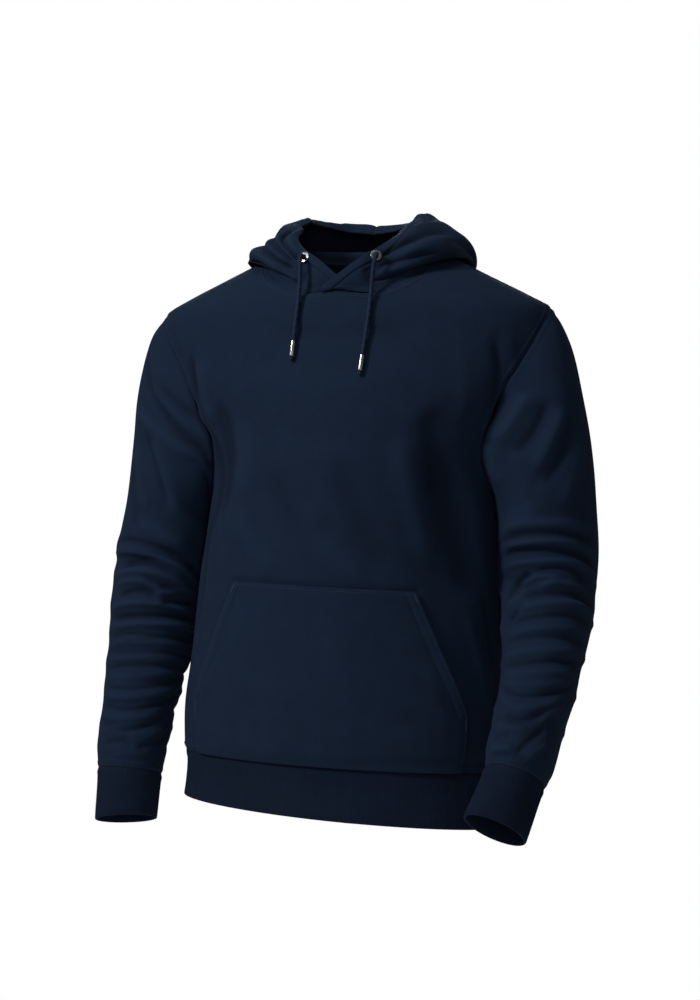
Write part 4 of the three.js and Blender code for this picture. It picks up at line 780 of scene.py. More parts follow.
sleeveStrokes = {
    "right": strokes([
        # drag lines that hang from the shoulder seam towards the underarm
        (38, -126, 84, -196, 146, -262, 4, -4.6, 0.5), (52, -190, 92, -222, 150, -270, 6, 3.4),
        (56, -200, 84, -254, 104, -300, 4, -4.0, 0.5), (58, -146, 90, -182, 124, -214, 3.6, -3.6, 0.5),
        (48, -146, 86, -188, 132, -238, 5, 2.8), (68, -212, 96, -262, 122, -316, 9, 3.0),
        (44, -214, 58, -262, 78, -318, 7, 2.2), (104, -236, 134, -262, 166, -290, 4, -3.0, 0.4),
        (36, -240, 48, -290, 66, -332, 7, -2.2), (96, -300, 130, -318, 168, -345, 12, 2.2),
        (58, -324, 96, -336, 140, -362, 9, 2.4),
        # the elbow: crossing wedges of cloth
        (36, -352, 92, -352, 164, -400, 5, -4.7, 0.4), (34, -366, 88, -362, 152, -398, 4.5, 3.9),
        (46, -386, 84, -372, 128, -394, 4, -4.2, 0.4), (52, -394, 92, -384, 150, -414, 4.5, 3.6),
        (84, -388, 116, -404, 160, -416, 3.6, -3.6, 0.4), (40, -404, 84, -396, 118, -414, 4.5, 3.4),
        (46, -420, 86, -408, 112, -421, 4, -4.4, 0.4), (112, -421, 140, -425, 172, -424, 4, -3.9, 0.4),
        (100, -414, 128, -410, 166, -412, 4, 2.9), (54, -432, 100, -424, 168, -440, 4.5, 3.9),
        (48, -446, 108, -440, 178, -449, 4, -4.2, 0.4), (44, -458, 110, -450, 180, -462, 4.5, 3.4),
        # the forearm: rings of slack above the cuff, which lean one way and then the other
        (40, -470, 84, -462, 120, -470, 3.6, -2.6, 0.4), (104, -468, 140, -468, 184, -478, 4, -2.4, 0.4),
        (42, -480, 108, -472, 182, -486, 4.4, 2), (40, -489, 110, -486, 178, -496, 4, -2.6, 0.4),
        (50, -498, 112, -492, 176, -503, 4.4, 2), (42, -509, 104, -502, 152, -508, 3.8, -2.4, 0.4),
        (60, -518, 108, -514, 178, -512, 4.4, 2.1), (46, -528, 110, -530, 176, -519, 4, -2.8, 0.4),
        (44, -540, 106, -541, 170, -530, 4.6, 2.2), (48, -551, 112, -556, 172, -540, 4, -2.9, 0.4),
        (40, -562, 96, -567, 150, -556, 4.8, 2), (60, -576, 104, -582, 152, -566, 4.4, -2.8, 0.4),
        (40, -588, 76, -584, 100, -597, 4.4, 2.2), (98, -586, 130, -590, 176, -578, 5, 2.2),
        (52, -603, 88, -596, 112, -606, 4.4, -2.6, 0.4), (116, -604, 144, -600, 182, -592, 4.4, -2, 0.3),
        (70, -616, 108, -612, 150, -612, 5, 1.5),
        (52, -464, 96, -456, 140, -462, 2.6, -1.3, 0.4), (70, -476, 120, -470, 170, -478, 2.6, -1.2, 0.4),
        (44, -484, 84, -479, 124, -484, 2.6, -1.3, 0.4), (96, -496, 130, -493, 172, -500, 2.6, -1.2, 0.4),
        (42, -516, 76, -513, 112, -517, 2.6, -1.2, 0.4), (90, -522, 128, -523, 168, -516, 2.6, -1.3, 0.4),
        (46, -546, 84, -549, 118, -547, 2.6, -1.2, 0.4), (100, -561, 130, -562, 160, -556, 2.6, -1.2, 0.4),
        (44, -572, 66, -575, 88, -574, 2.6, -1.3, 0.4), (84, -591, 110, -592, 140, -588, 2.6, -1.1, 0.4),
        # the hidden back and inner side
        (200, -200, 236, -232, 280, -216, 8, -4.5), (190, -262, 232, -280, 290, -262, 9, 3.9),
        (205, -300, 250, -318, 310, -300, 9, -3.5), (196, -395, 252, -378, 330, -392, 5, -3.9, 0.3),
        (200, -412, 262, -400, 340, -414, 5.5, 3.6), (196, -432, 250, -424, 318, -438, 4.5, -3.6, 0.3),
        (210, -450, 270, -446, 348, -456, 5.5, 3.4), (192, -476, 246, -466, 300, -478, 4.5, -3.6, 0.3),
        (205, -496, 268, -490, 350, -498, 5.5, 3.2), (190, -518, 250, -514, 330, -520, 4.5, -3.6, 0.3),
        (200, -540, 262, -538, 345, -544, 5.5, 3.1), (196, -562, 240, -560, 300, -566, 4.5, -3.4, 0.3),
        (210, -586, 266, -582, 340, -590, 5.5, 2.9), (200, -606, 250, -604, 320, -608, 4.5, -2.9, 0.3),
    ], 22),
    "left": strokes([
        # the inner side swells towards the body; drag lines from the seam
        (165, -350, 169, -415, 168, -478, 18, 3.5), (157, -284, 164, -345, 168, -425, 18, 2.5),
        (70, -160, 88, -196, 112, -228, 6, 6, 0.2), (82, -158, 100, -188, 116, -206, 5, -5.2, 0.3),
        (58, -168, 76, -210, 104, -240, 6, -5.2, 0.3), (40, -176, 62, -220, 90, -262, 8, 4.9),
        (30, -190, 54, -240, 82, -280, 7, -4.2), (24, -215, 40, -262, 66, -306, 10, 3.1),
        (112, -222, 122, -246, 130, -282, 7, 3.5), (84, -296, 110, -314, 140, -320, 12, 2.4),
        # the elbow
        (34, -330, 80, -322, 132, -332, 6, 3.4), (28, -345, 84, -334, 140, -346, 4.5, -3.9, 0.4),
        (24, -366, 62, -345, 132, -354, 5, 4.2), (22, -378, 72, -355, 142, -366, 4.5, -4.7, 0.4),
        (24, -388, 64, -368, 136, -378, 5, 3.9), (26, -398, 60, -377, 104, -384, 4, -4.2, 0.4),
        (96, -381, 124, -396, 150, -418, 5, -5.7, 0.5), (60, -392, 92, -387, 120, -402, 4.5, 3.4),
        (24, -412, 58, -395, 96, -400, 4.5, 3.9), (104, -404, 126, -416, 146, -430, 4.6, 4.2),
        (22, -426, 58, -408, 112, -414, 4.2, -4.4, 0.4), (20, -434, 60, -418, 124, -430, 4.8, 3.9),
        (110, -418, 128, -432, 144, -444, 4, -4.4, 0.4),
        # the forearm
        (20, -446, 64, -433, 132, -446, 4, -3.2, 0.4), (22, -458, 66, -447, 134, -460, 4.8, 2.5),
        (24, -470, 74, -458, 136, -468, 4, -2.9, 0.4), (26, -480, 80, -474, 134, -484, 4.8, 2.5),
        (22, -492, 80, -488, 138, -497, 4, -3.2, 0.4), (26, -502, 80, -500, 132, -504, 4.6, 2.3),
        (30, -517, 82, -528, 132, -519, 3.2, -3.2, 0.6), (34, -512, 84, -515, 134, -512, 4.2, 1.7),
        (36, -528, 84, -541, 128, -530, 4.8, 2.5), (44, -542, 88, -556, 118, -546, 6, -3.3, 0.2),
        (24, -538, 44, -548, 60, -562, 4.6, 2.3), (70, -566, 104, -564, 134, -560, 5, 2.3),
        (96, -574, 116, -574, 136, -580, 4.2, -2.7, 0.4), (42, -566, 66, -578, 86, -598, 6.5, -3.5, 0.2),
        (88, -586, 110, -588, 134, -592, 5, 2.5), (34, -584, 52, -592, 70, -602, 5, 2.3),
        (90, -602, 112, -602, 136, -602, 4.2, -2.3, 0.4),
        # the hidden back and inner side
        (196, -196, 236, -226, 282, -214, 8, -4.5), (186, -258, 232, -276, 288, -258, 9, 3.9),
        (205, -300, 250, -316, 312, -298, 9, -3.5), (188, -384, 244, -372, 330, -380, 5, -3.9, 0.3),
        (160, -410, 250, -396, 338, -402, 5.5, 3.6), (190, -428, 246, -422, 320, -426, 4.5, -3.6, 0.3),
        (170, -452, 262, -446, 346, -448, 5.5, 3.4), (188, -472, 244, -468, 316, -470, 4.5, -3.6, 0.3),
        (170, -496, 262, -490, 348, -490, 5.5, 3.2), (188, -518, 250, -514, 330, -512, 4.5, -3.6, 0.3),
        (172, -544, 256, -538, 344, -534, 5.5, 3.1), (168, -566, 236, -562, 310, -556, 4.5, -3.4, 0.3),
        (176, -590, 258, -584, 340, -576, 5.5, 2.9),
    ], 22),
}


def outwardOf(net, middle):  # normals that point away from a tube's own middle
    normals = netNormals(net, True)
    turned = np.sign(np.sum(normals * (net - middle), axis=(1, 2)))
    return normals * np.where(turned.sum() < 0, -1, 1)


sleeveLook = {"waver": 0.7, "waverSize": 80, "seed": {"left": 7, "right": 8}, "fade": 16}


def makeSleeve(side):
    sizes, look = sleeveSizes, sleeveLook
    along, around = np.meshgrid(
        np.linspace(0, 1, sizes["rows"]) ** sizes["crowd"] * sizes["cuffSeam"],
        np.arange(sizes["columns"]) * 360 / sizes["columns"], indexing="ij")
    net = sleevePoint(side, along, around)
    z = net[..., 2]
    facing = outwardOf(net, sleeveRing(side, along)[0])
    low, high, first, last = edgeDistances(net)
    relief = strokeField(sleeveStrokes[side], around, z, 1.0)
    wavy = look["waver"] * waver(around, z, look["seed"][side], look["waverSize"])
    relief = (relief + wavy * smooth(low / 40)) * smooth(high / look["fade"])
    relief = relief + seamRelief(low, around) + seamRelief(high, around)
    outer = net + facing * relief[..., None]
    keepNet(f"sleeve_{side}", outer, facing, low, high, first, last)
    uv = np.stack([around, -along], axis=-1)
    # the mark sets the painted highlight and painted shade
    mark = np.clip(relief / fullMark, -1, 1)
    return makeShell(f"cloth_sleeve_{side}", outer, facing, uv, mark, sizes["wall"], fleece, closed=True)


# Cuffs: a doubled rib band that draws the sleeve in
cuffSizes = {"wall": 3, "rows": 12, "perRib": 6, "ribs": 124, "ribDeep": 0.26, "ribFrom": 3, "seam": 0.9,
             "waver": 0.5, "waverSize": 60, "seed": 11, "perDegree": 0.66, "rim": 4}


def makeCuff(side):
    sizes = cuffSizes
    end = sleeveRows[side][-1]["along"]
    columns = sizes["ribs"] * sizes["perRib"]
    along, around = np.meshgrid(np.linspace(sleeveSizes["cuffSeam"], end, sizes["rows"]),
                                np.arange(columns) * 360 / columns, indexing="ij")
    net = sleevePoint(side, along, around)
    facing = outwardOf(net, sleeveRing(side, along)[0])
    low = edgeDistances(net)[0]
    ribs = sizes["ribDeep"] * np.cos(around / 360 * sizes["ribs"] * 2 * np.pi)
    wavy = sizes["waver"] * waver(around, along, sizes["seed"], sizes["waverSize"])
    relief = ribs * smooth(low / sizes["ribFrom"]) + wavy + seamRelief(low, around, sizes["seam"])
    outer = net + facing * relief[..., None]
    uv = np.stack([around * sizes["perDegree"], -along], axis=-1)
    # its relief also sets the painted highlight on rib and crease crests and the painted shade in their
    # troughs
    return makeShell(f"rib_cuff_{side}", outer, facing, uv, np.clip(relief, -1, 1), sizes["wall"], rib,
                     closed=True, rim=sizes["rim"])


sleeves = {side: makeSleeve(side) for side in sign}
cuffs = {side: makeCuff(side) for side in sign}
print("sleeves and cuffs made")

# Hem: a doubled rib band round the whole body
hemSizes = {"wall": 3, "rows": 10, "perRib": 4, "ribs": 520, "ribDeep": 0.26, "ribFrom": 3, "seam": 0.9,
            "waver": 0.7, "waverSize": 90, "seed": 12, "rim": 4}


def makeHem():
    sizes = hemSizes
    columns = sizes["ribs"] * sizes["perRib"]
    share, angle = np.meshgrid(np.linspace(0, 1, sizes["rows"]),
                               np.arange(columns) * 2 * np.pi / columns, indexing="ij")
    top = hemHeight(angle)
    band = bodySizes["hemBand"] + bodySizes["hemBandTilt"] * bodyFit["half"](top) * np.sin(angle)
    z = top - band * share
    run = np.degrees(angle) * perDegree
    net = bodyPoint(angle, z)
    facing = bodyNormal(angle, z)
    low, _, first, _ = edgeDistances(net)
    ribs = sizes["ribDeep"] * np.cos(angle * sizes["ribs"])
    wavy = sizes["waver"] * waver(run, z, sizes["seed"], sizes["waverSize"])
    relief = ribs * smooth(low / sizes["ribFrom"]) + wavy + seamRelief(low, first, sizes["seam"])
    outer = net + facing * relief[..., None]
    uv = np.stack([run, z], axis=-1)
    # its relief also sets the painted highlight on rib and crease crests and the painted shade in their
    # troughs
    return makeShell("rib_hem", outer, facing, uv, np.clip(relief, -1, 1), sizes["wall"], rib,
                     closed=True, rim=sizes["rim"])


hem = makeHem()
print("hem made")

# Kangaroo pocket, laid on the front's own surface: slanted openings above, sewn sides below
pocketStrokes = strokes([
    (-30, -420, -36, -470, -44, -540, 12, 1.0), (-20, -425, -10, -500, -14, -590, 22, -0.6),
    (20, -430, 28, -500, 32, -590, 20, -0.7), (0, -440, 8, -520, 4, -600, 20, 1.0),
    (38, -480, 44, -540, 46, -606, 9, 1.0), (-48, -560, -30, -590, -8, -596, 12, 0.9),
    (40, -545, 26, -560, 10, -556, 14, -0.5),
])


def pocketPlace(across, down):  # down runs from 0 at the top by 1 at the widest place to 2
    sizes = pocketSizes
    slant = np.minimum(1, down)
    foot = np.maximum(0, down - 1)
    half = np.where(foot > 0, lerp(sizes["wideHalf"], sizes["footHalf"], foot),
                    lerp(sizes["topHalf"], sizes["wideHalf"], slant))
    angle = np.radians(across * half)
    tilt = -np.sin(angle) * bodyFit["half"](sizes["top"]) * sizes["topTilt"]
    low = hemHeight(angle) + sizes["hemClear"]
    wide = sizes["wide"] + tilt
    z = np.where(foot > 0, lerp(wide, low, foot), lerp(sizes["top"] + tilt, wide, slant))
    return angle, z


# The slanted edges are faced: a doubled lip, a groove at its sewing and a slight gape
pocketLook = {"facing": 12.5, "gape": 1.6, "gapeWide": 9, "lip": 0.9, "groove": 0.7, "sewn": 0.75,
              "sewnWide": 2.2, "inset": 0.3, "insetAt": 3.2, "lineWide": 1.3, "waver": 0.6,
              "waverSize": 70, "seed": 14}


def makePocket():
    sizes, look = pocketSizes, pocketLook
    slantRows = int(sizes["rows"] * sizes["slantShare"])
    straight = np.linspace(1, 2, sizes["rows"] - slantRows + 1)[1:]
    down, across = np.meshgrid(np.concatenate([np.linspace(0, 1, slantRows), straight]),
                               np.linspace(-1, 1, sizes["columns"]), indexing="ij")
    angle, z = pocketPlace(across, down)
    around = np.degrees(angle)
    facing = bodyNormal(angle, z)
    net = bodyPoint(angle, z) + facing * (sizes["clear"] + sizes["wall"])
    low, high, first, last = edgeDistances(net)
    relief = strokeField(pocketStrokes, around, z, perDegree)
    relief = relief + look["waver"] * waver(around * perDegree, z, look["seed"], look["waverSize"])
    beside = np.minimum(first, last)
    slanted = smooth((1.02 - down) / 0.04) * smooth(down / 0.03)
    lip = look["lip"] * smooth((look["facing"] - beside) / 1.6) * slanted
    gape = look["gape"] * np.sin(np.pi * np.clip(down, 0, 1)) * (down < 1)
    gape = gape * np.exp(-beside / look["gapeWide"])
    groove = np.exp(-((beside - look["facing"] - 0.6) / look["lineWide"]) ** 2) * slanted
    sewn = np.exp(-(beside / look["sewnWide"]) ** 2) * (1 - slanted)
    sewn = np.minimum(1, sewn + np.exp(-(low / look["sewnWide"]) ** 2))
    inset = np.exp(-((np.where(down > 1, beside, low) - look["insetAt"]) / look["lineWide"]) ** 2)
    relief = relief + lip + gape
    relief = relief - look["groove"] * groove - look["sewn"] * sewn - look["inset"] * inset
    outer = net + facing * relief[..., None]
    keepNet("pocket", outer, facing, low, high, first, last)
    uv = np.stack([around * perDegree, z], axis=-1)
    # the mark sets the painted highlight and painted shade
    mark = np.clip(relief / fullMark, -1, 1)
    return makeShell("cloth_pocket", outer, facing, uv, mark, sizes["wall"], fleece)


pocket = makePocket()
print("pocket made")

# Hood: sections round the neck, each from its neck seam over the rise, along the underside of
# the drape to its lowest fold, up the outside to the top and down to the face edge. around is
# measured from the centre front, R from the middle of the neck.
hoodStations = ["rise", "under", "fold", "belly", "upper", "top", "edge"]
hoodColumns = " ".join(["around"] + [name + key for name in hoodStations for key in "RZ"] + ["slump"])
hoodRows = table(hoodColumns, [
    (-12, 96, -39.4, 96.2, -39, 96.4, -38.6, 96.6, -38, 96.7, -37.4, 96.6, -36.8, 96.4, -36, 0),
    (0, 96, -36, 96.4, -34, 96.8, -32, 97, -29.5, 97, -27, 96.6, -24, 96, -21, 0),
    (15, 97.5, -36, 98, -32, 98.5, -28, 98.5, -22, 97.5, -15, 96, -8, 93, -2, 0),
    (30, 102, -36, 100, -31, 99, -25, 98, -15, 96, -5, 93.5, 4, 90, 12, 0),
    (46, 107, -25, 106, -19, 109, -15, 113, -4, 107, 9, 96, 20, 82, 26, 0),
    (60, 111, -12, 112, -7, 118, -5, 122, 7, 112, 21, 94, 32, 74, 34, 2),
    (75, 110, 6, 118, 7, 131, 2, 134, 14, 119, 31, 95, 44, 71, 43, 4),
    (92, 104, 23, 121, 15, 142, 3, 143, 15, 124, 35, 97, 53, 71, 51, 10),
    (112, 100, 22, 124, 4, 143, -20, 145, 4, 125, 36, 95, 62, 74, 57, 11),
    (135, 82, 17, 122, -36, 148, -82, 162, -44, 138, 23, 99, 61, 78, 55, 7),
    (157, 72, 13, 128, -84, 151, -134, 173, -96, 150, 6, 104, 57, 81, 50, 2),
    (180, 69, 12, 129, -104, 152, -154, 175, -114, 158, -6, 107, 55, 82, 47, 0),
])
hoodSizes = {"wall": 3.4, "lapClear": 2.5, "lapSeam": {"left": 0.25, "right": 1}, "lapEnd": 16,
             "lapFade": 30, "lapStart": -1 / 6, "restFrom": 62, "restClear": 4.5, "restRise": 1.5,
             "freeBefore": 30, "rows": 120, "columns": 170, "frontShare": 0.62, "foldRise": 2.2,
             "foldReach": 0.93}
slumpShare = {"bellyR": 0.5, "upperR": 1, "upperZ": 0.8, "topR": 0.3, "topZ": 0.2}
# Broad folds that fan out over the drape; start and end are shares of the way to the face edge
hoodFoldColumns = "around turn start end spread depth"
hoodFolds = {
    "left": table(hoodFoldColumns, [
        (58, 16, 0.4, 1, 8, 3.5), (80, 22, 0.4, 1, 8, -5), (103, 10, 0.4, 1, 9, 5),
        (128, 8, 0.45, 0.95, 9, -5), (152, 6, 0.45, 0.95, 8, 4)]),
    "right": table(hoodFoldColumns, [
        (62, 20, 0.4, 1, 7, 4), (81, 16, 0.4, 1, 6, -8), (98, 12, 0.4, 1, 7, 5),
        (114, 8, 0.4, 1, 6, -8), (130, 6, 0.4, 1, 7, 5), (150, 4, 0.45, 0.95, 8, -4)]),
}
hoodFit = fitted(hoodRows, "around")
hoodStrokes = {
    "right": strokes([  # three rolls that fan out from the eyelet
        (33, 71, 46, 82, 84, 90, 4, -6.6, 0.5), (34, 78, 52, 91, 84, 97, 7, 3.4),
        (36, 66, 50, 74, 88, 80, 3.6, -5.6, 0.6), (35, 69, 50, 78, 88, 85, 4.5, 3.2),
        (34, 55, 50, 61, 84, 70, 4, -5.2, 0.5), (38, 62, 54, 68, 84, 75, 4.5, 3.0),
        (40, 50, 60, 55, 90, 62, 6, 3.2), (36, 30, 52, 38, 76, 42, 5, -4.8, 0.3),
        (30, 36, 44, 45, 66, 47, 5, 2.2), (24, 60, 28, 40, 34, 16, 6, -2),
        (100, 60, 118, 66, 140, 60, 7, -4), (104, 78, 122, 84, 146, 80, 7, 3),
        (128, 50, 144, 58, 168, 54, 8, 3.2), (132, 70, 150, 74, 176, 70, 7, -3.2),
        (150, 86, 164, 88, 180, 86, 6, 2.2), (120, 40, 140, 44, 162, 42, 7, -3),
    ]),
    "left": strokes([
        (31, 76, 52, 80, 96, 66, 5.5, -6.2, 0.4), (38, 60, 64, 66, 98, 56, 8, 4.2),
        (42, 88, 66, 92, 98, 86, 7, 2.5), (70, 99, 92, 90, 112, 80, 6, -3),
        (30, 62, 44, 58, 72, 48, 5, -4.4, 0.4), (27, 50, 44, 46, 72, 40, 6, 2.8),
        (76, 64, 88, 58, 104, 46, 5, -3.8, 0.3), (84, 74, 98, 66, 116, 54, 7, 3.2),
        (27, 40, 38, 30, 56, 24, 4.5, -3.4, 0.4), (22, 70, 24, 50, 28, 24, 6, -1.8),
        (104, 70, 122, 74, 142, 66, 7, -4), (108, 86, 126, 88, 150, 82, 7, 2.8),
        (130, 52, 146, 60, 168, 56, 8, 3.2), (136, 72, 152, 76, 178, 72, 7, -3.2),
        (120, 40, 142, 46, 164, 42, 7, -3),
    ]),
}


def hoodSeam(side):  # the neckline from the lap over the centre front round to the centre back
    frontCount = int(hoodSizes["columns"] * hoodSizes["frontShare"])
    part = np.linspace(hoodSizes["lapStart"], 1, frontCount)
    angle, z = neckPlace("front", np.abs(part))
    angle = sign[side] * np.sign(part) * angle
    backPart = np.linspace(1, 0, hoodSizes["columns"] - frontCount + 1)[1:]
    backAngle, backZ = neckPlace("back", backPart)
    angle = np.concatenate([angle, np.pi - sign[side] * backAngle])
    z = np.concatenate([z, backZ])
    point = bodyPoint(angle, z)
    out = unit(point * [1, 1, 0])
    return point, unit(bodyNormal(angle, z) + out)


def hoodFoldDepth(side, turn, share):
    depth = 0
    for fold in hoodFolds[side]:
        along = np.clip((share - fold["start"]) / (fold["end"] - fold["start"]), 0, 1)
        ends = np.minimum(1, hoodSizes["foldRise"] * np.sin(np.pi * hoodSizes["foldReach"] * along))
        middle = fold["around"] - fold["turn"] * (along - 0.5)
        inside = smooth((share - fold["start"]) / 0.04) * smooth((fold["end"] + 0.05 - share) / 0.05)
        depth = depth + fold["depth"] * ends * inside * bell(turn - middle, fold["spread"])
    return depth


def splinePoint(control, t):  # control is stations by columns by 2, t runs over the stretches
    last = len(control) - 1
    i = np.minimum(t.astype(int), last - 1)
    f = (t - i)[:, None, None]
    a, b = control[np.maximum(i - 1, 0)], control[i]
    c, d = control[i + 1], control[np.minimum(i + 2, last)]
    u, v = (c - a) / 2, (d - b) / 2
    return (2 * b - 2 * c + u + v) * f**3 + (-3 * b + 3 * c - 2 * u - v) * f**2 + u * f + b


def hoodNet(side):
    sizes = hoodSizes
    point, mitre = hoodSeam(side)
    turn = np.degrees(np.arctan2(sign[side] * point[:, 0], -point[:, 1]))
    turn = np.where(turn < -90, 180, turn)
    apart = smooth((turn - sizes["lapEnd"]) / (sizes["lapFade"] - sizes["lapEnd"]))
    lap = sign[side] * sizes["lapClear"] * (1 - apart)
    slump = hoodFit["slump"](turn) * (side == "right")
    control = [np.stack([np.hypot(point[:, 0], point[:, 1]) + lap, point[:, 2]], axis=-1)]
    for name in hoodStations:
        r, z = (hoodFit[name + key](turn) - slump * slumpShare.get(name + key, 0) for key in "RZ")
        control.append(np.stack([r + lap, z], axis=-1))
    t = np.linspace(0, len(hoodStations), sizes["rows"])
    section = splinePoint(np.array(control), t)
    step = np.where(t < 1, t, 1 + 2 * (t - 1))[:, None]
    share = step / (2 * len(hoodStations) - 1)
    r = section[..., 0] + hoodFoldDepth(side, turn, share) * smooth(step)
    turnAt = np.radians(turn)
    net = stack(sign[side] * np.sin(turnAt) * r, -np.cos(turnAt) * r, section[..., 1])
    free = 1 - smooth((turn - sizes["restFrom"] + 8) / 10)  # before this the hood stands by itself
    clear = np.minimum(sizes["restClear"], step * sizes["restRise"]) - sizes["freeBefore"] * free
    net = clearOfBody(net, clear)
    net[0] = point + mitre * lap[:, None] * sizes["lapSeam"][side]
    net[:, -1, 0] = 0
    return net, turn, share


# The drawcord runs in a channel behind the face edge: raised cloth and a groove at its sewing
hoodLook = {"channel": 12.5, "raised": 0.7, "groove": 0.8, "grooveWide": 1.5, "waver": 0.5,
            "waverSize": 45, "waverPerDegree": 1.7, "strokesPerDegree": 1.6,
            "seed": {"left": 16, "right": 17}, "rim": 4}


def makeHood(side):
    look = hoodLook
    net, turn, share = hoodNet(side)
    facing = netNormals(net, False) * sign[side]
    facing[:, -1, 0] = 0
    facing = unit(facing)
    low, high, first, last = edgeDistances(net)
    turns = np.broadcast_to(turn, net.shape[:2])
    relief = strokeField(hoodStrokes[side], turns, share * np.ones_like(turn) * 100,
                         look["strokesPerDegree"])
    wavy = waver(turns * look["waverPerDegree"], low, look["seed"][side], look["waverSize"])
    relief = relief + look["waver"] * wavy * smooth(low / 12)
    relief = relief + seamRelief(low, first, 0.8) + seamRelief(last, low, 0.9)
    groove = np.exp(-((high - look["channel"] - 0.8) / look["grooveWide"]) ** 2)
    raised = smooth((look["channel"] - high) / 2.5)
    relief = relief + look["raised"] * raised - look["groove"] * groove
    outer = net + facing * relief[..., None]
    keepNet(f"hood_{side}", outer, facing, low, high, first, last)
    uv = np.stack([first, low], axis=-1)
    # the mark sets the painted highlight and painted shade
    mark = np.clip(relief / fullMark, -1, 1)
    return makeShell(f"cloth_hood_{side}", outer, facing, uv, mark, hoodSizes["wall"], fleece,
                     rim=look["rim"])


hoods = {side: makeHood(side) for side in sign}
print("hood made")

# Stitching: rows of short thread floats that follow an edge at a cloth length from it
stitchSizes = {"long": 2.5, "pitch": 3.3, "radius": 0.34, "lift": 0.12, "dip": 0.3}
# piece, edge, cloth length from it, and the share of that edge's run that is sewn
stitchRows = [
    ("front", "high", 2.2, 0.2, 0.8), ("front", "high", 6.6, 0.2, 0.8),
    ("back", "high", 2.2, 0.26, 0.74), ("back", "high", 6.6, 0.26, 0.74),
    ("front", "high", 2.4, 0, 0.195), ("front", "high", 2.4, 0.805, 1),
    ("sleeve_left", "high", 1.9, 0, 1), ("sleeve_right", "high", 1.9, 0, 1),
    ("pocket", "low", 3.0, 0.02, 0.98), ("pocket", "first", 3.0, 0, 1), ("pocket", "last", 3.0, 0, 1),
    ("pocket", "first", 13.1, 0.01, 0.66), ("pocket", "last", 13.1, 0.01, 0.66),
    ("hood_left", "high", 13.3, 0, 1), ("hood_right", "high", 13.3, 0, 1),
    ("hood_left", "last", 3.0, 0.12, 1), ("hood_right", "last", 3.0, 0.12, 1),
]
for facing in ("front", "back"):  # twin rows along the hem seam and round both armholes
    stitchRows += [(facing, "low", 1.9, 0, 1), (facing, "low", 6.2, 0, 1)]
    for edge in ("first", "last"):
        stitchRows += [(facing, edge, 2.2, 0.577, 1), (facing, edge, 6.6, 0.577, 1)]
stitchGroups = {"front": "body", "back": "body", "sleeve_left": "sleeves", "sleeve_right": "sleeves",
                "hood_left": "hood", "hood_right": "hood", "pocket": "pocket"}
# Bar tacks at the pocket's corners: the edge's row, how far down its run, and the tack's length
barTacks = [("first", 0.015, 11), ("last", 0.015, 11), ("first", 0.66, 14), ("last", 0.66, 14)]
tackSizes = {"inset": 3.2, "pitch": 0.55, "half": 1.3, "radius": 0.32, "run": 0.12}


def rowAt(name, edge, distance, start, end):
    net = nets[name]
    values = [net[key] for key in (edge, "face", "facing")]
    if edge in ("low", "high"):
        values = [np.swapaxes(value, 0, 1) for value in values]
    if edge in ("high", "last"):
        values = [value[:, ::-1] for value in values]
    measure, face, facing = values
    count = len(measure)
    points, normals = [], []
    for i in range(int(start * (count - 1)), int(end * (count - 1)) + 1):
        at = np.interp(distance, measure[i], np.arange(measure.shape[1]))
        j = min(int(at), measure.shape[1] - 2)
        points.append(lerp(face[i, j], face[i, j + 1], at - j))
        normals.append(lerp(facing[i, j], facing[i, j + 1], at - j))
    return np.array(points), unit(np.array(normals))


def runOf(points):  # the length along a line of points
    return np.concatenate([[0], np.cumsum(np.linalg.norm(np.diff(points, axis=0), axis=1))])


def pick(at, run, values):
    return np.stack([np.interp(at, run, values[:, k]) for k in range(3)], axis=1)


def placesAlong(points, normals, pitch):
    run = runOf(points)
    at = np.arange(pitch, run[-1] - pitch / 2, pitch)
    ways = np.gradient(points, axis=0)
    return pick(at, run, points), unit(pick(at, run, ways)), unit(pick(at, run, normals))


floatRings = [(-1, 0.45, -1), (-0.55, 1, 1), (0.55, 1, 1), (1, 0.45, -1)]  # place, size, rise


def threadFloats(centres, ways, ups, half, radius):  # one small tapered bar at each place
    ups = unit(ups - ways * np.sum(ups * ways, axis=1, keepdims=True))
    sides = np.cross(ways, ups)
    rings = []
    for reach, size, rise in floatRings:
        height = stitchSizes["lift"] if rise > 0 else -stitchSizes["dip"]
        middle = centres + ways * half * reach + ups * height
        for turn in (0.25, 0.75, 1.25, 1.75):
            a = math.pi * turn
            rings.append(middle + (sides * math.cos(a) + ups * math.sin(a)) * radius * size)
    points = np.stack(rings, axis=1)
    corner = [[r * 4 + k, r * 4 + (k + 1) % 4, (r + 1) * 4 + (k + 1) % 4, (r + 1) * 4 + k]
              for r in range(3) for k in range(4)]
    corner += [[3, 2, 1, 0], [12, 13, 14, 15]]
    faces = np.array(corner)[None] + (np.arange(len(centres)) * 16)[:, None, None]
    return points.reshape(-1, 3), faces.reshape(-1, 4)


def joinParts(name, parts, material):
    points, faces, count = [], [], 0
    for partPoints, partFaces in parts:
        points.append(partPoints)
        faces.append(partFaces + count)
        count += len(partPoints)
    points, faces = np.concatenate(points), np.concatenate(faces)
    if meshVolume(points, faces) < 0:
        faces = faces[:, ::-1]
    piece = writeMesh(name, points, faces, None, {"relief": np.full(len(points), 0.6)}, material)
    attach(piece, "root")


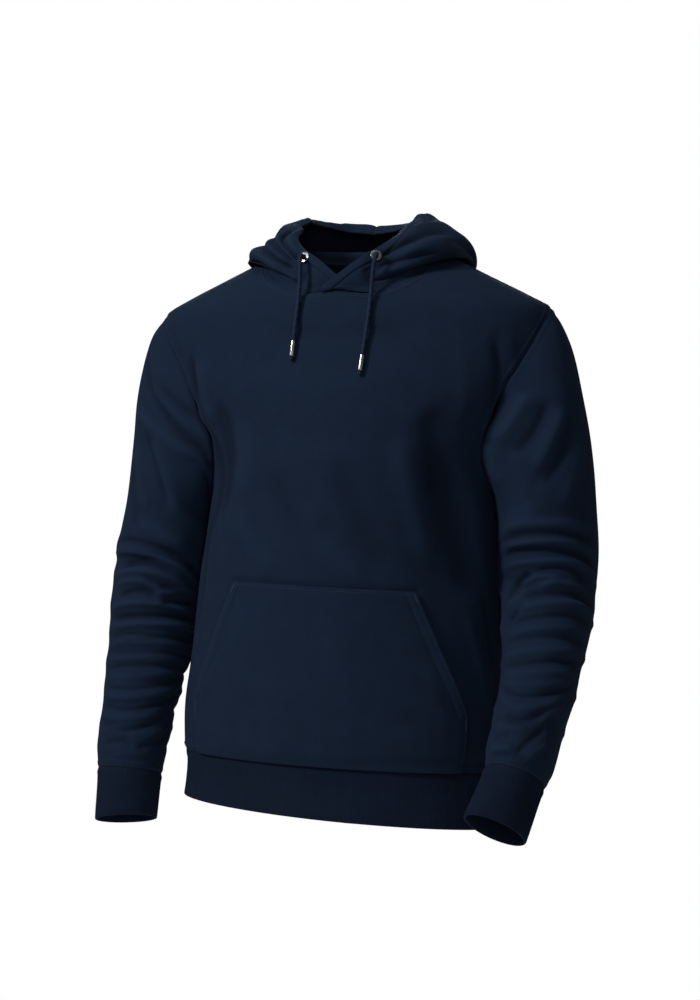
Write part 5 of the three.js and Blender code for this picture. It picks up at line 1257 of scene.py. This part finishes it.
def makeStitching():
    groups = {"body": [], "sleeves": [], "hood": [], "pocket": []}
    for name, edge, distance, start, end in stitchRows:
        places = placesAlong(*rowAt(name, edge, distance, start, end), stitchSizes["pitch"])
        floats = threadFloats(*places, stitchSizes["long"] / 2, stitchSizes["radius"])
        groups[stitchGroups[name]].append(floats)
    for edge, share, length in barTacks:
        points, normals = rowAt("pocket", edge, tackSizes["inset"], share,
                                min(1, share + tackSizes["run"]))
        run = runOf(points)
        at = np.arange(0, min(length, run[-1]), tackSizes["pitch"])
        ups = np.repeat(normals[:1], len(at), 0)
        along = np.repeat(unit(points[-1:] - points[:1]), len(at), 0)
        tack = threadFloats(pick(at, run, points), np.cross(along, ups), ups, tackSizes["half"],
                            tackSizes["radius"])
        groups["pocket"].append(tack)
    for group, parts in groups.items():
        joinParts(f"stitching_{group}", parts, thread)


makeStitching()
print("stitching made")

# Drawcord: the two free ends, each a round braid that leaves its eyelet, turns over the rim and
# hangs down the chest
cordSizes = {"radius": 2.8, "rings": 240, "around": 26, "strands": 8, "lay": 9.5, "strandDeep": 0.34}
cordRoutes = {
    "left": [
        (45.1, -81.3, 2.9), (46.3, -83.9, 4), (47.2, -86.1, 4.9), (48.1, -89, 5.4), (48.6, -92.1, 4.6),
        (48.6, -95, 2.4), (48.2, -97.3, -1.2), (47.6, -98.9, -6), (46.9, -99.9, -12),
        (46.1, -100.5, -20), (45.4, -101, -29), (44.8, -101.8, -39), (44.1, -103.2, -49.5),
        (43.3, -105.3, -61), (42.2, -108.3, -74.5), (40.9, -111.9, -89.5), (39.5, -115.6, -104.5),
        (38.2, -119.2, -119)],
    "right": [
        (-44.95, -80.7, 2.95), (-45.7, -83.4, 4), (-46.3, -85.7, 4.9), (-46.8, -88.6, 5.4),
        (-47, -91.7, 4.6), (-46.8, -94.6, 2.3), (-46.4, -97, -1.4), (-46, -98.6, -6.2),
        (-45.7, -99.6, -12.5), (-45.6, -100.3, -20.5), (-45.7, -101, -29.5), (-46, -101.9, -39),
        (-46.6, -103.3, -49), (-47.3, -105.2, -60), (-48.2, -107.9, -73), (-49.1, -111, -87),
        (-49.8, -113.8, -100)],
}


def cordPath(side, count):
    route = np.array(cordRoutes[side], float)[:, None, :]
    fine = splinePoint(route, np.linspace(0, len(route) - 1, 60 * len(route)))[:, 0]
    run = runOf(fine)
    at = np.linspace(0, run[-1], count)
    return pick(at, run, fine), at


def carriedFrames(path):  # two directions across the cord, carried along it without twist
    way = unit(np.gradient(path, axis=0))
    sideways = [unit(np.cross(way[0], [0.0, 0.3, 1.0]))]
    for i in range(1, len(path)):
        sideways.append(unit(sideways[-1] - way[i] * np.dot(sideways[-1], way[i])))
    sideways = np.array(sideways)
    return sideways, np.cross(way, sideways)


def braidNet(path, run):  # rings of points, with the strands' crests, and closed round at both ends
    sizes = cordSizes
    sideways, over = carriedFrames(path)
    r = run[:, None]
    a = (np.arange(sizes["around"]) * 2 * np.pi / sizes["around"])[None, :]
    twist = r * 2 * np.pi / sizes["lay"]
    first = np.cos(sizes["strands"] / 2 * a + twist)  # the two sets of strands cross each other
    second = np.cos(sizes["strands"] / 2 * a - twist)
    relief = np.maximum(first, second) * 0.6 + 0.4 * first * second
    ends = np.sqrt(np.clip(np.minimum(r, run[-1] - r) / sizes["radius"], 0.0, 1.0) * 1.9 + 0.05)
    size = (sizes["radius"] - sizes["strandDeep"] * (1 - relief)) * np.minimum(1, ends)
    across, up = np.cos(a)[..., None], np.sin(a)[..., None]
    net = path[:, None] + size[..., None] * (across * sideways[:, None] + up * over[:, None])
    return net, relief


def braidFaces(rows, columns):
    i, j = np.meshgrid(np.arange(rows - 1), np.arange(columns), indexing="ij")
    low, j = i.ravel() * columns, j.ravel()
    after = (j + 1) % columns
    quads = np.stack([low + j, low + after, low + columns + after, low + columns + j], 1)
    k = np.arange(columns)
    after = (k + 1) % columns
    tip = np.full(columns, rows * columns)
    top = (rows - 1) * columns
    fans = np.concatenate([np.stack([tip, after, k], 1), np.stack([tip + 1, top + k, top + after], 1)])
    return quads.tolist() + fans.tolist()


def makeCord(side):
    path, run = cordPath(side, cordSizes["rings"])
    net, relief = braidNet(path, run)
    points = np.concatenate([net.reshape(-1, 3), path[:1], path[-1:]])
    mesh = bpy.data.meshes.new(f"drawcord_{side}")
    mesh.from_pydata((points * mm).tolist(), [], braidFaces(*net.shape[:2]))
    # the strands' crests are marked for the painted highlight
    marks = mesh.attributes.new("relief", "FLOAT", "POINT")
    values = np.concatenate([np.clip(relief, 0, 1).ravel(), [0.5, 0.5]])
    marks.data.foreach_set("value", values.astype(np.float32))
    mesh.polygons.foreach_set("use_smooth", np.ones(len(mesh.polygons), bool))
    mesh.materials.append(braid)
    work = bmesh.new()
    work.from_mesh(mesh)
    bmesh.ops.recalc_face_normals(work, faces=work.faces)
    work.to_mesh(mesh)
    work.free()
    piece = bpy.data.objects.new(f"drawcord_{side}", mesh)
    bpy.context.scene.collection.objects.link(piece)
    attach(piece, "root")
    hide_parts(f"cord_{side}")
    return piece, path * mm, run[-1] * mm


# The axis of a round CAD node, and its centre: its longest way, or its shortest for a flat ring
def nodeAxis(node, flat, ahead):
    points = np.array([vertex.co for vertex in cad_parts[node].data.vertices])
    centre = points.mean(0)
    axis = np.linalg.svd(points - centre)[2][2 if flat else 0]
    axis = axis * np.sign(np.dot(axis, ahead))
    span = (points - centre) @ axis
    middle = centre + axis * (span.max() + span.min()) / 2
    return Vector(middle), Vector(axis), (span.max() - span.min()) / mm


def clearSelection():
    if bpy.context.mode != "OBJECT":
        bpy.ops.object.mode_set(mode="OBJECT")
    bpy.ops.object.select_all(action="DESELECT")


def selectFaces(piece, chosen):  # leaves edit mode on with only these faces selected
    bpy.ops.object.mode_set(mode="EDIT")
    bpy.ops.mesh.select_mode(type="FACE")
    bpy.ops.mesh.select_all(action="DESELECT")
    work = bmesh.from_edit_mesh(piece.data)
    for face in work.faces:
        face.select_set(chosen(face))
    bmesh.update_edit_mesh(piece.data)


def finishTrim(piece, node, centre, axis, material):  # turned to its seat, in the node's place
    piece.data.transform(Matrix.Translation(centre) @ axis.to_track_quat("Z", "Y").to_matrix().to_4x4())
    piece.data.materials.append(material)
    clearSelection()
    piece.select_set(True)
    bpy.context.view_layer.objects.active = piece
    bpy.ops.object.shade_smooth_by_angle(angle=math.radians(40))
    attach(piece, "root")
    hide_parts(node)


def addCylinder(name, sizes, radius, depth, height=0):
    clearSelection()
    bpy.ops.mesh.primitive_cylinder_add(vertices=sizes["sides"], radius=radius * mm, depth=depth * mm,
                                        end_fill_type="NGON", location=(0, 0, height * mm))
    piece = bpy.context.active_object
    piece.name = name
    bpy.ops.object.transform_apply(location=True, rotation=True, scale=True)
    return piece


# Eyelet: a pressed washer, domed, with an inner lip rolled into the hole and the barrel that holds
# it to the cloth
eyeletSizes = {"outer": 7.0, "inner": 3.2, "flange": 1.15, "shoulder": 1.3, "dome": 0.25, "lip": 0.55,
               "lipDeep": 0.5, "bore": 1.2, "barrel": 4.0, "edge": 0.28, "sides": 56}


def makeEyelet(side):
    sizes = eyeletSizes
    centre, axis, depth = nodeAxis(f"eyelet_{side}", True, (0, -1, 0.3))
    ring = addCylinder(f"eyelet_ring_{side}", sizes, sizes["outer"], sizes["flange"],
                       (depth - sizes["flange"]) / 2)
    selectFaces(ring, lambda face: face.normal.z > 0.9)
    bpy.ops.mesh.inset(thickness=sizes["shoulder"] * mm)
    bpy.ops.transform.translate(value=(0, 0, sizes["dome"] * mm))
    flat = sizes["outer"] - sizes["shoulder"] - sizes["inner"] - sizes["lip"]
    bpy.ops.mesh.inset(thickness=flat * mm)
    bpy.ops.mesh.inset(thickness=sizes["lip"] * mm)
    bpy.ops.transform.translate(value=(0, 0, -sizes["lipDeep"] * mm))
    down = (0, 0, (sizes["bore"] - depth) * mm)
    bpy.ops.mesh.extrude_region_move(TRANSFORM_OT_translate={"value": down})
    bpy.ops.mesh.delete(type="FACE")
    selectFaces(ring, lambda face: face.normal.z < -0.9)
    bpy.ops.mesh.inset(thickness=(sizes["outer"] - sizes["barrel"]) * mm)
    down = (0, 0, (sizes["flange"] - depth) * mm)
    bpy.ops.mesh.extrude_region_move(TRANSFORM_OT_translate={"value": down})
    bpy.ops.mesh.delete(type="FACE")
    bpy.ops.mesh.select_all(action="DESELECT")
    bpy.ops.mesh.select_mode(type="EDGE")
    bpy.ops.mesh.select_non_manifold()
    bpy.ops.mesh.bridge_edge_loops()
    bpy.ops.mesh.select_all(action="SELECT")
    bpy.ops.mesh.normals_make_consistent(inside=False)
    bpy.ops.object.mode_set(mode="OBJECT")
    finishTrim(ring, f"eyelet_{side}", centre, axis, nickel)
    bevel = ring.modifiers.new("edges", "BEVEL")
    bevel.width = sizes["edge"] * mm
    bevel.segments = 3
    bevel.limit_method = "ANGLE"
    bevel.angle_limit = math.radians(28)
    bpy.ops.object.modifier_apply(modifier="edges")


# Aglet: a drawn tube crimped on the cord's end, its mouths rolled in
agletSizes = {"radius": 3.1, "sides": 48, "mouth": 0.55, "mouthDeep": 0.7, "roll": 0.6, "groove": 0.16,
              "crimp": 0.34, "crimpStep": 0.04}


def makeAglet(side):
    sizes = agletSizes
    centre, axis, length = nodeAxis(f"aglet_{side}", False, (0, 0, -1))
    tube = addCylinder(f"aglet_tube_{side}", sizes, sizes["radius"], length)
    selectFaces(tube, lambda face: abs(face.normal.z) > 0.9)
    bpy.ops.mesh.bevel(offset=sizes["roll"] * mm, segments=4, affect="EDGES")
    for end in (1, -1):
        selectFaces(tube, lambda face: face.normal.z * end > 0.999)
        bpy.ops.mesh.inset(thickness=sizes["mouth"] * mm)
        bpy.ops.transform.translate(value=(0, 0, -end * sizes["mouthDeep"] * mm))
    bpy.ops.mesh.select_all(action="SELECT")
    for step in (-1, 0, 1):  # a shallow crimp below the upper mouth
        height = -length * (sizes["crimp"] + step * sizes["crimpStep"]) * mm
        bpy.ops.mesh.bisect(plane_co=(0, 0, height), plane_no=(0, 0, 1))
        bpy.ops.mesh.select_all(action="SELECT")
    bpy.ops.object.mode_set(mode="OBJECT")
    for vertex in tube.data.vertices:
        crimp = bell(vertex.co.z / mm + length * sizes["crimp"], 0.5) * sizes["groove"]
        reach = math.hypot(vertex.co.x, vertex.co.y) / mm
        if reach > sizes["radius"] - 0.1:
            vertex.co.x *= 1 - crimp / reach
            vertex.co.y *= 1 - crimp / reach
    finishTrim(tube, f"aglet_{side}", centre, axis, nickel)
    return tube


# The cord's cut end, heat sealed below the aglet
tipSizes = {"radius": 2.45, "sides": 24, "lowRound": 1.1, "topRound": 1.3}


def makeTip(side):
    sizes = tipSizes
    centre, axis, length = nodeAxis(f"cord_tip_{side}", False, (0, 0, -1))
    tip = addCylinder(f"cord_end_{side}", sizes, sizes["radius"], length)
    for end, offset in ((-1, sizes["lowRound"]), (1, sizes["topRound"])):
        selectFaces(tip, lambda face: face.normal.z * end > 0.9)
        bpy.ops.mesh.bevel(offset=offset * mm, segments=4, affect="EDGES")
    bpy.ops.object.mode_set(mode="OBJECT")
    marks = tip.data.attributes.new("relief", "FLOAT", "POINT")
    marks.data.foreach_set("value", np.full(len(tip.data.vertices), 0.3, np.float32))
    finishTrim(tip, f"cord_tip_{side}", centre, axis, braid)
    return tip


for side in sign:
    cordPiece, cordLine, cordLength = makeCord(side)
    makeEyelet(side)
    onCord = [makeAglet(side), makeTip(side)]
    tuple(cordLine[0])
print("drawcord, eyelets and aglets made")

# Plain pale floor and soft light: the lamps stand in metres and give watts; the world is white to
# the camera and dim to the cloth
studio = {"floorHeight": -1.45, "floorRadius": 1.3, "aimHeight": -0.3, "backing": 1.0, "ambient": 0.1}


def makeFloor():
    bpy.ops.object.select_all(action="DESELECT")
    bpy.ops.mesh.primitive_circle_add(vertices=96, radius=studio["floorRadius"], fill_type="NGON",
                                      location=(0, 0, studio["floorHeight"]))
    floor = bpy.context.active_object
    floor.name = "floor"
    floor.data.materials.append(paperMaterial())


lamps = table("name x y z size power", [
    ("keyLamp", -2.4, -2.6, 1.9, 0.8, 80),
    ("fillLamp", 0.9, -3.2, 0.1, 1.6, 10),
    ("topLamp", -0.3, -0.9, 2.5, 1.4, 14),
    ("backLamp", -0.83, 3.1, 0.9, 1.4, 40),
])


def makeLights():
    for lamp in lamps:
        data = bpy.data.lights.new(lamp["name"], "AREA")
        data.shape = "DISK"
        data.size = lamp["size"]
        data.energy = lamp["power"]
        light = bpy.data.objects.new(lamp["name"], data)
        bpy.context.scene.collection.objects.link(light)
        light.location = (lamp["x"], lamp["y"], lamp["z"])
        toMiddle = Vector((0, 0, studio["aimHeight"])) - light.location
        light.rotation_euler = toMiddle.to_track_quat("-Z", "Y").to_euler()
    world = bpy.data.worlds.new("studio")
    bpy.context.scene.world = world
    world.use_nodes = True
    tree = world.node_tree
    seen = addNode(tree, "ShaderNodeLightPath").outputs["Is Camera Ray"]
    strength = addNode(tree, "ShaderNodeMath",
                       {"operation": "MULTIPLY_ADD", 1: studio["backing"] - studio["ambient"],
                        2: studio["ambient"]}, {0: seen})
    tree.nodes["Background"].inputs["Color"].default_value = (1, 1, 1, 1)
    tree.links.new(strength.outputs[0], tree.nodes["Background"].inputs["Strength"])
    bpy.context.scene.view_settings.view_transform = "Standard"


makeFloor()
makeLights()
print("floor and lights placed")

# Flat cut of each piece, with its own area where it isn't a rectangle
cuts = table("node wide long area held", [
    ("front", 0.64, 0.72, 0.33, "draped"), ("back", 0.6, 0.74, 0.33, "draped"),
    ("sleeve_left", 0.5, 0.6, 0.2, "draped"), ("sleeve_right", 0.5, 0.6, 0.2, "draped"),
    ("cuff_left", 0.265, 0.07, 0.0185, "stretched"), ("cuff_right", 0.265, 0.065, 0.0172, "stretched"),
    ("hem_rib", 1.12, 0.066, 0.0739, "stretched"), ("pocket", 0.38, 0.235, 0.075, "laid"),
    ("hood_left", 0.42, 0.36, 0.09, "draped"), ("hood_right", 0.42, 0.36, 0.09, "draped"),
])

pieces = [(panels["front"], "front", "fleece"), (panels["back"], "back", "fleece"),
          (hem, "hem_rib", "rib"), (pocket, "pocket", "fleece")]
for side in sign:
    pieces += [(sleeves[side], f"sleeve_{side}", "fleece"), (cuffs[side], f"cuff_{side}", "rib"),
               (hoods[side], f"hood_{side}", "fleece")]
for piece, node, slot in pieces:
    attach(piece, "root")
    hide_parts(node)
for cut in cuts:
    piece = next(made for made, node, slot in pieces if node == cut["node"])
